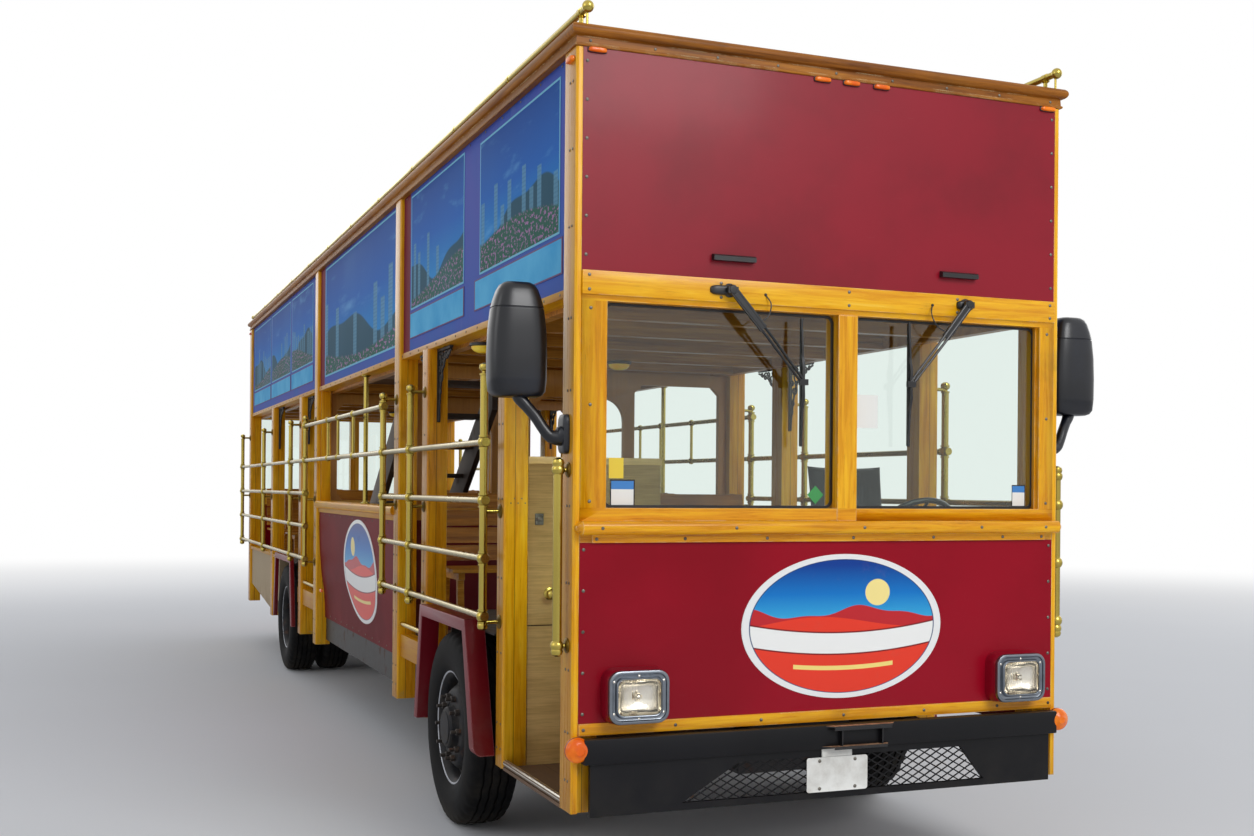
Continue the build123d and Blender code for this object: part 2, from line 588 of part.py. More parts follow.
# Leaf springs: (axle run, seat height, half length)
spring_x = (385.0, 455.0)
springs = ((front_axle_run, 480.0, 700.0), (rear_axle_run, 397.0, 750.0))
leaf = 12.0
with BuildPart() as leaf_springs:
    for axle_run, seat, half in springs:
        slope = (rail_z[0] - seat - 4 * leaf) / (half - 90)
        for step in range(4):
            reach = half - step * 140
            low = seat + (3 - step) * leaf
            tip = low + slope * (reach - 90)
            upper_edge = [(axle_run + reach, tip + leaf), (axle_run + 90, low + leaf),
                          (axle_run - 90, low + leaf), (axle_run - reach, tip + leaf)]
            lower_edge = [(run, height - leaf) for run, height in reversed(upper_edge)]
            side_prism(lower_edge + upper_edge, spring_x)
    mirror(about=Plane.YZ)
save(leaf_springs, "leaf_springs")

# Upper deck
beam_runs = (650.0, 1300.0, 1950.0, 2630.0, 3200.0, 6350.0, 7000.0, 7700.0, 8400.0, 9100.0, 9800.0, 10500.0,
             11100.0)
with BuildPart() as deck_beams:
    for side in (-1, 1):
        block(sorted((side * 1040, side * wall_inner)), (frame_depth + 10, rear - frame_depth - 10),
              (deck_beam_low, deck_under))
    for run in beam_runs + (3560.0,):
        block((-1040 + seat_gap, 1040 - seat_gap), (run - 30, run + 30), (deck_beam_low, deck_under))
    for run in (4200.0, 4850.0, 5500.0):
        block((-380 + seat_gap, 1040 - seat_gap), (run - 30, run + 30), (deck_beam_low, deck_under))
    block((-440, -380), (3590 + seat_gap, 6320 - seat_gap), (deck_beam_low, deck_under))
save(deck_beams, "deck_beams")

# Upper floor sheets leave a stairwell on the kerb side: (across low, across high, run low, run high)
deck_sheets = ((-1100.0, 1100.0, end_wall, 3649.7), (-440.0, 1100.0, 3650.0, 5700.0),
               (-1100.0, 1100.0, 5700.3, rear - end_wall))
with BuildPart() as upper_deck_floor:
    for across_low, across_high, run_low, run_high in deck_sheets:
        block((across_low, across_high), (run_low, run_high), (deck_under, deck_top))
save(upper_deck_floor, "upper_deck_floor")

# Staircase: treads rise forwards from the middle bay's rear
tread_count = 9
stair_foot_run = 5850.0
stair_head_run = 3650.0
tread_rise = (deck_top - floor_top) / tread_count
tread_run = (stair_foot_run - stair_head_run) / (tread_count - 1)
with BuildPart() as staircase:
    for step in range(1, tread_count):
        tread_high = floor_top + step * tread_rise
        tread_back = stair_foot_run - (step - 1) * tread_run
        block((-1040 + seat_gap, -500 - seat_gap), (tread_back - tread_run - 20, tread_back),
              (tread_high - 30, tread_high))
    for across in ((-1080, -1040), (-500, -460)):
        side_prism(((stair_foot_run + 60, floor_top), (stair_foot_run + 60, floor_top + 120),
                    (stair_head_run + 60, deck_beam_low - seat_gap), (stair_head_run + 60, deck_beam_low - 260),
                    (stair_foot_run - 200, floor_top)), across)
save(staircase, "staircase")

# Bulkheads at the two middle main posts
aisle = 330.0
with BuildPart() as bulkheads:
    for run in (3405.0, 6620.0):
        block((-wall_inner, wall_inner), (run - 20, run + 20), (floor_top, deck_beam_low))
        bulk_plane = Plane(origin=(0, front_face + run, 0), x_dir=(1, 0, 0), z_dir=(0, -1, 0))
        with BuildSketch(bulk_plane) as windows:
            for across_low, across_high in ((-1040.0, -410.0), (410.0, 1040.0)):
                with Locations(((across_low + across_high) / 2, (belt_top + 2480) / 2)):
                    Rectangle(across_high - across_low, 2480 - belt_top)
            chamfer(windows.vertices(), 55)
            with Locations((0, (floor_top + 2380) / 2 - 20)):
                RectangleRounded(2 * aisle, 2380 - floor_top + 40, 150)
            with Locations((0, floor_top + 90)):
                Rectangle(2 * aisle, 180)
        extrude(to_extrude=windows.sketch, amount=30, both=True, mode=Mode.SUBTRACT)
    block((-1095, -405), (1000, 1050), (850, 1890))
    block((-1099, -402), (990, 1060), (1890, 1925))
    block((-1095, -616), (1000, 1050), (433, 850))
save(bulkheads, "bulkheads")

# Seats: benches on both decks, (run of the cushion's front edge)
seat_height = 440.0
seat_depth = 420.0
seat_board = 35.0
lower_rows = (2560.0, 7020.0, 9150.0, 9900.0, 10650.0)
stair_side_rows = (3700.0, 4450.0, 5200.0)
upper_rows = (700.0, 1450.0, 2200.0, 2950.0, 6000.0, 6750.0, 7500.0, 8250.0, 9000.0, 9750.0, 10500.0)
bench_lower = 610.0
bench_upper = 800.0
bench_outer = 1060.0
wall_seat = wall_inner - seat_gap


def bench(width, frames):
    # a bench about its inner front foot: seat and leaning back in one bent profile, on end frames
    run = -front_face
    back = run + seat_depth
    under = seat_height - seat_board
    top = seat_height + 460
    side_prism(((run, under), (run, seat_height), (back - 4, seat_height), (back + 56, top), (back + 86, top),
                (back + 26, under)), (0, width))
    for low in frames:
        side_prism(((run + 20, 0), (run + 60, under - seat_gap), (back - 20, under - seat_gap), (back + 40, 0)),
                   (low, low + 40))


def seat_spots(rows, inner, deck):
    return [(inner, front_face + run, deck) for run in rows]


with BuildPart() as short_bench:
    bench(bench_lower, (40, bench_lower - 80))

with BuildPart() as long_bench:
    bench(bench_upper, (40,))

with BuildPart() as lower_benches:
    with Locations(*seat_spots(lower_rows, bench_outer - bench_lower, floor_top)):
        add(short_bench.part)
    mirror(about=Plane.YZ)
    with Locations(*seat_spots(stair_side_rows + (5950.0,), bench_outer - bench_lower, floor_top)):
        add(short_bench.part)
save(lower_benches, "lower_benches")

with BuildPart() as upper_seats:
    with Locations(*seat_spots(upper_rows, wall_seat - bench_upper, deck_top)):
        add(long_bench.part)
    mirror(about=Plane.YZ)
    with Locations(*seat_spots(stair_side_rows, wall_seat - bench_upper, deck_top)):
        add(long_bench.part)
save(upper_seats, "upper_seats")

# Driver's place
with BuildPart() as driver_seat:
    block((520, 980), (640, 1100), (floor_top + 380, floor_top + 480))
    side_prism(((1060, 1300), (1140, 1900), (1230, 1900), (1150, 1300)), (520, 980))
    block((600, 900), (700, 1040), (floor_top, floor_top + 380))
save(driver_seat, "driver_seat")

wheel_centre = (750.0, 520.0, 1560.0)
with BuildPart() as dashboard:
    side_prism(((62, 850), (62, 1150), (420, 1230), (1440, 1100), (1440, 850)), (-400, 400))
    side_prism(((77, 800), (77, 1135), (415, 1215), (1425, 1085), (1425, 800)), (-385, 385), mode=Mode.SUBTRACT)
    side_prism(((112, 850), (112, 1560), (330, 1520), (400, 1380), (300, 850)), (420, 1090))
    side_prism(((112, 1155), (112, 1560), (300, 1520), (380, 1400), (380, 1215)), (-390, 399))
    bar((750, 330, 1400), wheel_centre, 26)
    wheel_middle = (wheel_centre[0], front_face + wheel_centre[1], wheel_centre[2])
    wheel_plane = Plane(origin=wheel_middle, x_dir=(1, 0, 0), z_dir=(0, 190, 160))
    with BuildSketch(wheel_plane) as hand_wheel:
        RegularPolygon(236, 18)
        RegularPolygon(206, 18, mode=Mode.SUBTRACT)
        Rectangle(430, 34)
        RegularPolygon(60, 10)
    extrude(to_extrude=hand_wheel.sketch, amount=24)
save(dashboard, "dashboard")

# Wheels: each section is a closed outline of (outward offset from the wheel's middle, radius) corners
tyre_section = ((-tyre_half, 400), (-115, 490), (-85, tyre_radius), (85, tyre_radius), (115, 490),
                (tyre_half, 400), (tyre_half, 386), (95, bead_radius), (-95, bead_radius), (-tyre_half, 386))
rim_bore = 262.0
rim_seat = bead_radius - seat_gap
# front rim: barrel, a disc that bulges outwards to the studs, the hub's cap, and the brake drum behind
front_rim_section = ((-95, rim_bore), (-95, rim_seat), (95, rim_seat), (110, 300), (110, rim_bore),
                     (34, rim_bore), (104, 190), (104, 110), (140, 100), (150, 84), (150, 0), (-70, 0),
                     (-70, 200), (20, 200), (20, 90), (88, 90), (88, 180), (20, 250), (12, rim_bore))
# rear rims: two barrels on one deep disc, measured from between the twin tyres
twin_gap = (rear_outer_x - rear_inner_x) / 2
rear_rim_section = ((-twin_gap - 95, rim_bore), (-twin_gap - 95, rim_seat), (95 - twin_gap, rim_seat),
                    (-60, 275), (60, 275), (twin_gap - 95, rim_seat), (twin_gap + 95, rim_seat),
                    (twin_gap + 110, 300), (twin_gap + 110, rim_bore), (62, rim_bore), (12, 200), (12, 110),
                    (120, 100), (165, 78), (165, 0), (-45, 0), (-45, 190), (-205, 190), (-205, 205), (-12, 205),
                    (-12, rim_bore))

# Road wheels and knuckles: the left pair is on +X
for side_name, side in (("left", 1), ("right", -1)):
    with BuildPart() as knuckle:
        centre = side * kingpin_x
        bar((centre, front_axle_run, 560), (centre, front_axle_run, 605), 50)
        bar((centre, front_axle_run, 405), (centre, front_axle_run, 450), 50)
        rod((centre, front_axle_run, 405), (centre, front_axle_run, 605), 25)
        for z_range in ((560, 605), (405, 450)):
            low, high = sorted((centre, side * 1075))
            block((low, high), (front_axle_run - 50, front_axle_run + 50), z_range)
        low, high = sorted((side * 1042, side * 1075))
        block((low, high), (front_axle_run - 50, front_axle_run + 50), (405, 605))
        rod((side * 1075, front_axle_run, axle_z), (side * 1235, front_axle_run, axle_z), 38)
        block((centre - 25, centre + 25), (front_axle_run + 30, front_axle_run + 210), (410, 440))
    save(knuckle, f"knuckle_{side_name}")

    front_hub = (front_wheel_x, front_axle_run, axle_z)
    with BuildPart() as front_tyre:
        ringed(front_hub, side, tyre_section)
    save(front_tyre, f"front_tyre_{side_name}")

    with BuildPart() as front_rim:
        ringed(front_hub, side, front_rim_section)
        rod((side * (front_wheel_x - 71), front_axle_run, axle_z), (side * 1245, front_axle_run, axle_z),
            38 + running_gap, mode=Mode.SUBTRACT)
    save(front_rim, f"front_rim_{side_name}")

    with BuildPart() as rear_tyres:
        for across in (rear_outer_x, rear_inner_x):
            ringed((across, rear_axle_run, axle_z), side, tyre_section)
    save(rear_tyres, f"rear_tyres_{side_name}")

    rear_hub = (rear_outer_x - twin_gap, rear_axle_run, axle_z)
    with BuildPart() as rear_rim:
        ringed(rear_hub, side, rear_rim_section)
        rod((side * 890, rear_axle_run, axle_z), (side * 1090, rear_axle_run, axle_z), 45 + running_gap,
            mode=Mode.SUBTRACT)
    save(rear_rim, f"rear_rim_{side_name}")
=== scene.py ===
from math import cos, pi, radians, sin
import bmesh
import bpy
import numpy as np
from mathutils import Matrix, Vector


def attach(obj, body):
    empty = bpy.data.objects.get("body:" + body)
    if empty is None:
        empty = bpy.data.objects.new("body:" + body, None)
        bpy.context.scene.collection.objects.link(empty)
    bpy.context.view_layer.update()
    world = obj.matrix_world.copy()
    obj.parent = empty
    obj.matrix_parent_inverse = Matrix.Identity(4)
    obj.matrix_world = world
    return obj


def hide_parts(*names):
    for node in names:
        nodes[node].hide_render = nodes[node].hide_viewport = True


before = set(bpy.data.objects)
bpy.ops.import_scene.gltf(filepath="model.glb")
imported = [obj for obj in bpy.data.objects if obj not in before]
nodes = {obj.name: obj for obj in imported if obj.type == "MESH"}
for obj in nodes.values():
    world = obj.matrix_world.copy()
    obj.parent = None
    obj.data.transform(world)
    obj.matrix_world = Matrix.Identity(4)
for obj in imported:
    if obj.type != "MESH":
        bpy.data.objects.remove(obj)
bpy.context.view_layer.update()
frontFace = -5.750  # Y of the front face, in metres; a run is the distance back from it
bodyLength = 11.480
postFace, panelFace = 1.220, 1.195  # X of the outer faces of the posts and of the side panels
axleHeight, frontAxle, rearAxle = 0.505, 1.780, 8.350
print("frame loaded:", len(nodes), "nodes")


def at(x, run, z):
    # a point by its distance back from the front face
    return (x, frontFace + run, z)


# meshes: a shape is (points, quads, triangles), all numpy arrays
def gridFaces(rows, columns, wrapRows=False, wrapColumns=False):
    # quad (i, j): the points (i, j), (i, j+1), (i+1, j+1), (i+1, j) of a rows by columns array
    i = np.arange(rows if wrapRows else rows - 1)
    j = np.arange(columns if wrapColumns else columns - 1)
    i, j = np.meshgrid(i, j, indexing="ij")
    below, beside = (i + 1) % rows, (j + 1) % columns
    i, below = i * columns, below * columns
    return np.stack([i + j, i + beside, below + beside, below + j], -1).reshape(-1, 4)


def surface(points, wrapRows=False, wrapColumns=False, capped=False):
    # points is rows x columns x 3; caps are fans from each end row's mean point
    rows, columns = points.shape[:2]
    flat = points.reshape(-1, 3)
    quads = gridFaces(rows, columns, wrapRows, wrapColumns)
    triangles = np.zeros((0, 3), int)
    if capped:
        j = np.arange(columns)
        beside = (j + 1) % columns
        flat = np.vstack([flat, points[0].mean(0), points[-1].mean(0)])
        first, last = rows * columns, rows * columns + 1
        head = np.stack([beside, j, np.full(columns, first)], -1)
        tail = np.stack([(rows - 1) * columns + j, (rows - 1) * columns + beside, np.full(columns, last)], -1)
        triangles = np.vstack([head, tail])
    return flat, quads, triangles


def join(shapes):
    points, quads, triangles, start = [], [], [], 0
    for shapePoints, shapeQuads, shapeTriangles in shapes:
        points.append(shapePoints)
        quads.append(shapeQuads + start)
        triangles.append(shapeTriangles + start)
        start += len(shapePoints)
    return np.vstack(points), np.vstack(quads), np.vstack(triangles)


def repeated(shape, offsets):
    # the same shape moved by each row of offsets
    points, quads, triangles = shape
    offsets = np.asarray(offsets, float)
    count, size = len(offsets), len(points)
    steps = (np.arange(count) * size)[:, None, None]
    return ((points[None] + offsets[:, None]).reshape(-1, 3),
            (quads[None] + steps).reshape(-1, 4), (triangles[None] + steps).reshape(-1, 3))


def turned(shape, matrix, offset=(0, 0, 0)):
    points, quads, triangles = shape
    turn = np.array(Matrix(matrix).to_3x3())
    return points @ turn.T + np.asarray(offset), quads, triangles


def bothSides(shape):
    # the shape and its mirror image across X = 0, whose faces are turned back the right way
    points, quads, triangles = shape
    return join([shape, (points * (-1, 1, 1), quads[:, ::-1], triangles[:, ::-1])])


def lathe(profile, centre, axis, segments=48):
    # point (i, t) = centre + distance_i * axis + radius_i * (cos t * a + sin t * b), a and b square to the axis
    profile = np.asarray(profile, float)
    axis = np.asarray(axis, float) / np.linalg.norm(axis)
    helper = np.array((0, 0, 1.0)) if abs(axis[2]) < 0.9 else np.array((0, 1.0, 0))
    a = np.cross(helper, axis)
    a /= np.linalg.norm(a)
    b = np.cross(axis, a)
    t = np.linspace(0, 2 * pi, segments, endpoint=False)
    ring = np.cos(t)[:, None] * a + np.sin(t)[:, None] * b
    points = np.asarray(centre) + profile[:, 1, None, None] * axis + profile[:, 0, None, None] * ring[None]
    return surface(points, wrapColumns=True)


def rod(start, end, radius, segments=16):
    # a straight round bar with flat ends
    start, end = np.asarray(start, float), np.asarray(end, float)
    length = np.linalg.norm(end - start)
    return lathe([(0, 0), (radius, 0), (radius, length), (0, length)], start, end - start, segments)


def ball(centre, radius, rings=10, segments=16):
    # point (i, t) = centre + radius * (sin i cos t, sin i sin t, cos i)
    turn = np.linspace(0, pi, rings + 1)
    return lathe(np.stack([radius * np.sin(turn), radius * -np.cos(turn)], -1), centre, (0, 0, 1), segments)


def box(low, high):
    low, high = np.asarray(low, float), np.asarray(high, float)
    corner = np.array([(0, 0, 0), (1, 0, 0), (1, 1, 0), (0, 1, 0), (0, 0, 1), (1, 0, 1), (1, 1, 1), (0, 1, 1)])
    quads = np.array([(0, 3, 2, 1), (4, 5, 6, 7), (0, 1, 5, 4), (1, 2, 6, 5), (2, 3, 7, 6), (3, 0, 4, 7)])
    return low + corner * (high - low), quads, np.zeros((0, 3), int)


def swept(path, section, up=(0, 0, 1), sizes=None, capped=True, closed=False):
    # point (i, k) = path_i + size_i * (section_k.x * side_i + section_k.y * rise_i),
    # rise being up less its part along the path
    path, section, up = (np.asarray(v, float) for v in (path, section, up))
    ahead = np.roll(path, -1, 0) - np.roll(path, 1, 0) if closed else np.gradient(path, axis=0)
    ahead /= np.linalg.norm(ahead, axis=1)[:, None]
    rise = up - (ahead @ up)[:, None] * ahead
    rise /= np.linalg.norm(rise, axis=1)[:, None]
    side = np.cross(ahead, rise)
    offsets = section[None, :, :1] * side[:, None] + section[None, :, 1:] * rise[:, None]
    if sizes is not None:
        offsets = offsets * np.asarray(sizes, float)[:, None, None]
    points = path[:, None] + offsets
    return surface(points, wrapRows=closed, wrapColumns=True, capped=capped and not closed)


def flatBar(halfWide, halfThick):
    # a bar's section
    return [(-halfWide, -halfThick), (halfWide, -halfThick), (halfWide, halfThick), (-halfWide, halfThick)]


def circle(radius, count=16):
    t = np.linspace(0, 2 * pi, count, endpoint=False)
    return np.stack([radius * np.cos(t), radius * np.sin(t)], -1)


def roundedRectangle(width, height, radius, steps=6):
    # four quarter circles of the radius about the corners of the inner rectangle
    t = np.linspace(0, pi / 2, steps)
    corners = []
    for quarter, (sx, sy) in enumerate(((1, 1), (-1, 1), (-1, -1), (1, -1))):
        turn = t + quarter * pi / 2
        corners.append(np.stack([sx * (width / 2 - radius) + radius * np.cos(turn),
                                 sy * (height / 2 - radius) + radius * np.sin(turn)], -1))
    return np.vstack(corners)


def blister(centre, across, up, out, squareness=0.5, rings=8, segments=32):
    # half of a rounded block: point (i, t) = centre + sin(i)^s (cos(t)^s across + sin(t)^s up) + cos(i)^s out,
    # each power s keeping the sign
    def power(value):
        return np.sign(value) * np.abs(value) ** squareness
    i = np.linspace(0, pi / 2, rings + 1)[:, None, None]
    t = np.linspace(0, 2 * pi, segments, endpoint=False)[None, :, None]
    across, up, out = (np.asarray(v, float) for v in (across, up, out))
    rim = power(np.cos(t)) * across + power(np.sin(t)) * up
    points = np.asarray(centre) + power(np.sin(i)) * rim + power(np.cos(i)) * out
    return surface(points, wrapColumns=True)


def facing(outline, x, run, z):
    # an outline (across, up) stood square to Y about a point
    return np.stack([x + outline[:, 0], np.full(len(outline), frontFace + run), z + outline[:, 1]], -1)


def layered(x, z, sections, steps=6):
    # point (i, k) = the k-th corner of the i-th rounded rectangle, stood about (x, z) at its own run;
    # a section is (run, width, height, corner radius)
    rows = [facing(roundedRectangle(*sizes, steps), x, run, z) for run, *sizes in sections]
    return surface(np.array(rows), wrapColumns=True)


def scaled(sizes, steps):
    # sections of one outline: each step is (size, run)
    return [(run, *(size * value for value in sizes)) for size, run in steps]


def smoothPath(points, steps=10):
    # Catmull-Rom: p(t) = (2 p1 + (p2 - p0) t + (2 p0 - 5 p1 + 4 p2 - p3) t^2
    # + (3 p1 - p0 - 3 p2 + p3) t^3) / 2
    points = np.asarray(points, float)
    padded = np.vstack([2 * points[0] - points[1], points, 2 * points[-1] - points[-2]])
    t = np.linspace(0, 1, steps, endpoint=False)[None, :, None]
    p0, p1, p2, p3 = (padded[k:len(padded) - 3 + k, None] for k in range(4))
    square, cube = 2 * p0 - 5 * p1 + 4 * p2 - p3, 3 * p1 - p0 - 3 * p2 + p3
    spans = (2 * p1 + (p2 - p0) * t + square * t ** 2 + cube * t ** 3) / 2
    return np.vstack([spans.reshape(-1, points.shape[1]), points[-1:]])


def prism(profile, low, high):
    # a (run, z) outline stood square to X, from low to high
    profile = np.asarray(profile, float)
    run, z = profile.T
    rows = [np.stack([np.full(len(profile), x), frontFace + run, z], -1) for x in (low, high)]
    return surface(np.array(rows), wrapColumns=True, capped=True)


def cushion(wide, deep, thick, pull=0.035, channels=(), steps=36):
    # a stuffed pad about the origin: z = +-thick crown, with
    # crown = ((1 - u^6)(1 - v^6))^0.4 (1 + bulge (1 - u^2)(1 - v^2)) / (1 + bulge),
    # less a groove at each channel's u; the sides draw in by pull between the corners
    bulge = 0.25
    u, v = np.meshgrid(np.linspace(-1, 1, steps), np.linspace(-1, 1, steps), indexing="ij")
    crown = np.clip((1 - np.abs(u) ** 6) * (1 - np.abs(v) ** 6), 0, 1) ** 0.4
    crown = crown * (1 + bulge * (1 - u * u) * (1 - v * v)) / (1 + bulge)
    for spot in channels:
        crown = crown * (1 - 0.22 * np.exp(-((u - spot) / 0.035) ** 2))
    x = wide * u * (1 - pull * (1 - v * v))
    y = deep * v * (1 - pull * (1 - u * u))
    return join([surface(np.stack([x, y, sign * thick * crown], -1)) for sign in (1, -1)])


def setOut(name, mesh, material, body, replaces, smooth):
    # a finished mesh becomes a piece that rides a body
    mesh.shade_smooth()
    mesh.set_sharp_from_angle(angle=radians(smooth))
    mesh.materials.append(material)
    piece = bpy.data.objects.new(name, mesh)
    bpy.context.scene.collection.objects.link(piece)
    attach(piece, body)
    if replaces:
        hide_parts(*replaces)
    return piece


def softened(name, nodeName, material, width, least=0.02):
    # a merged copy of a frame node whose long outer edges are bevelled; the node itself stays as it is
    work = bmesh.new()
    work.from_mesh(nodes[nodeName].data)
    bmesh.ops.remove_doubles(work, verts=work.verts, dist=1e-5)
    bmesh.ops.dissolve_limit(work, angle_limit=radians(0.5), verts=work.verts, edges=work.edges)
    outer = [e for e in work.edges if len(e.link_faces) == 2 and e.is_convex and e.calc_length() > least
             and radians(40) < e.calc_face_angle() < radians(120)]
    bmesh.ops.bevel(work, geom=outer, offset=width, segments=2, profile=0.6, affect="EDGES",
                    clamp_overlap=False)
    bmesh.ops.triangulate(work, faces=[f for f in work.faces if len(f.verts) > 4])
    mesh = bpy.data.meshes.new(name)
    work.to_mesh(mesh)
    work.free()
    return setOut(name, mesh, material, "coach", (nodeName,), 28)


def screwHeads(spots, axis, radius=0.006):
    # domed heads on one face: the same small lathe shape at every spot
    dome = np.array([(1, 0), (0.95, 0.25), (0.6, 0.45), (0, 0.5)]) * radius
    return repeated(lathe(dome, (0, 0, 0), axis, 10), spots)


def place(name, shape, material, body="coach", replaces=(), smooth=35, bevel=0, weld=True, uv=None):
    points, quads, triangles = shape
    mesh = bpy.data.meshes.new(name)
    loops = np.concatenate([quads.ravel(), triangles.ravel()]).astype(np.int32)
    sizes = np.concatenate([np.full(len(quads), 4), np.full(len(triangles), 3)]).astype(np.int32)
    mesh.vertices.add(len(points))
    mesh.vertices.foreach_set("co", points.astype(np.float32).ravel())
    mesh.loops.add(len(loops))
    mesh.loops.foreach_set("vertex_index", loops)
    mesh.polygons.add(len(sizes))
    mesh.polygons.foreach_set("loop_start", (np.cumsum(sizes) - sizes).astype(np.int32))
    mesh.update(calc_edges=True)
    if uv is not None:
        layer = mesh.uv_layers.new(name="own")
        layer.data.foreach_set("uv", uv[loops].astype(np.float32).ravel())
    mesh.validate()
    if weld:
        work = bmesh.new()
        work.from_mesh(mesh)
        bmesh.ops.remove_doubles(work, verts=work.verts, dist=1e-5)
        bmesh.ops.dissolve_degenerate(work, edges=work.edges, dist=1e-6)
        bmesh.ops.recalc_face_normals(work, faces=work.faces)
        work.to_mesh(mesh)
        work.free()
    piece = setOut(name, mesh, material, body, replaces, smooth)
    if bevel:
        soften = piece.modifiers.new("soft edges", "BEVEL")
        soften.width = bevel
        soften.segments = 2
        soften.limit_method = "ANGLE"
        soften.harden_normals = True
    return piece


# materials: sums on sockets are written as plain expressions
class Wire:
    # a value socket; every operator adds one Math node and gives its result
    def __init__(self, graph, socket):
        self.graph, self.socket = graph, socket

    def math(self, operation, *others):
        return self.graph.add("ShaderNodeMath", {"operation": operation}, dict(enumerate((self,) + others)))

    def __add__(self, other):
        return self.math("ADD", other)

    def __sub__(self, other):
        return self.math("SUBTRACT", other)

    def __mul__(self, other):
        return self.math("MULTIPLY", other)

    def __truediv__(self, other):
        return self.math("DIVIDE", other)

    def __rsub__(self, other):
        return (self * -1) + other

    def __abs__(self):
        return self.math("ABSOLUTE")

    def __lt__(self, other):
        return self.math("LESS_THAN", other)

    def __gt__(self, other):
        return self.math("GREATER_THAN", other)

    def __or__(self, other):
        return self.math("MAXIMUM", other)

    __radd__, __rmul__ = __add__, __mul__

    def sine(self):
        return self.math("SINE")

    def floor(self):
        return self.math("FLOOR")

    def fraction(self):
        return self.math("FRACT")

    def root(self):
        return self.math("SQRT")

    def between(self, low, high):
        return (self > low) * (self < high)

    def ease(self, low, high):
        # 0 below low, 1 above high and a smooth step between
        return self.graph.add("ShaderNodeMapRange", {"interpolation_type": "SMOOTHSTEP"},
                              {"Value": self, "From Min": low, "From Max": high})


def linear(screen):
    # a colour picked on screen, 0 to 255, as the shader wants it
    value = np.array(screen) / 255
    value = np.where(value <= 0.04045, value / 12.92, ((value + 0.055) / 1.055) ** 2.4)
    return (*value.tolist(), 1.0)


def pick(sockets, key):
    # a socket by its number, or by the name or identifier of one that is in use
    if isinstance(key, int):
        return sockets[key]
    return next(s for s in sockets if key in (s.identifier, s.name) and s.enabled)


class Graph:
    # the nodes of one tree; three numbers in a row are a colour picked on screen
    def __init__(self, tree):
        self.tree, self.kept = tree, {}

    def add(self, kind, settings, inputs, output=0):
        node = self.tree.nodes.new(kind)
        for key, value in settings.items():
            if key == "stops":
                for spare in value[2:]:
                    node.color_ramp.elements.new(0.5)
                for element, (position, color) in zip(node.color_ramp.elements, value):
                    element.position, element.color = position, linear(color)
            else:
                setattr(node, key, value)
        for key, value in inputs.items():
            self.feed(pick(node.inputs, key), value)
        return Wire(self, pick(node.outputs, output))

    def feed(self, socket, value):
        if isinstance(value, Wire):
            self.tree.links.new(value.socket, socket)
        else:
            socket.default_value = linear(value) if isinstance(value, tuple) and len(value) == 3 else value

    def once(self, key, kind, settings={}, inputs={}, output=0):
        # a node that many sums read is added by the first of them
        if key not in self.kept:
            self.kept[key] = self.add(kind, settings, inputs, output)
        return self.kept[key]

    def parts(self, key, vector):
        # the three numbers of a vector
        node = self.once(key, "ShaderNodeSeparateXYZ", {}, {0: vector}).socket.node
        return [Wire(self, socket) for socket in node.outputs]

    def ray(self, kind):
        # 1 where that kind of ray arrives
        return self.once(kind, "ShaderNodeLightPath", {}, {}, kind)

    def mix(self, factor, first, second):
        return self.add("ShaderNodeMix", {"data_type": "RGBA"},
                        {"Factor_Float": factor, "A_Color": first, "B_Color": second}, "Result_Color")


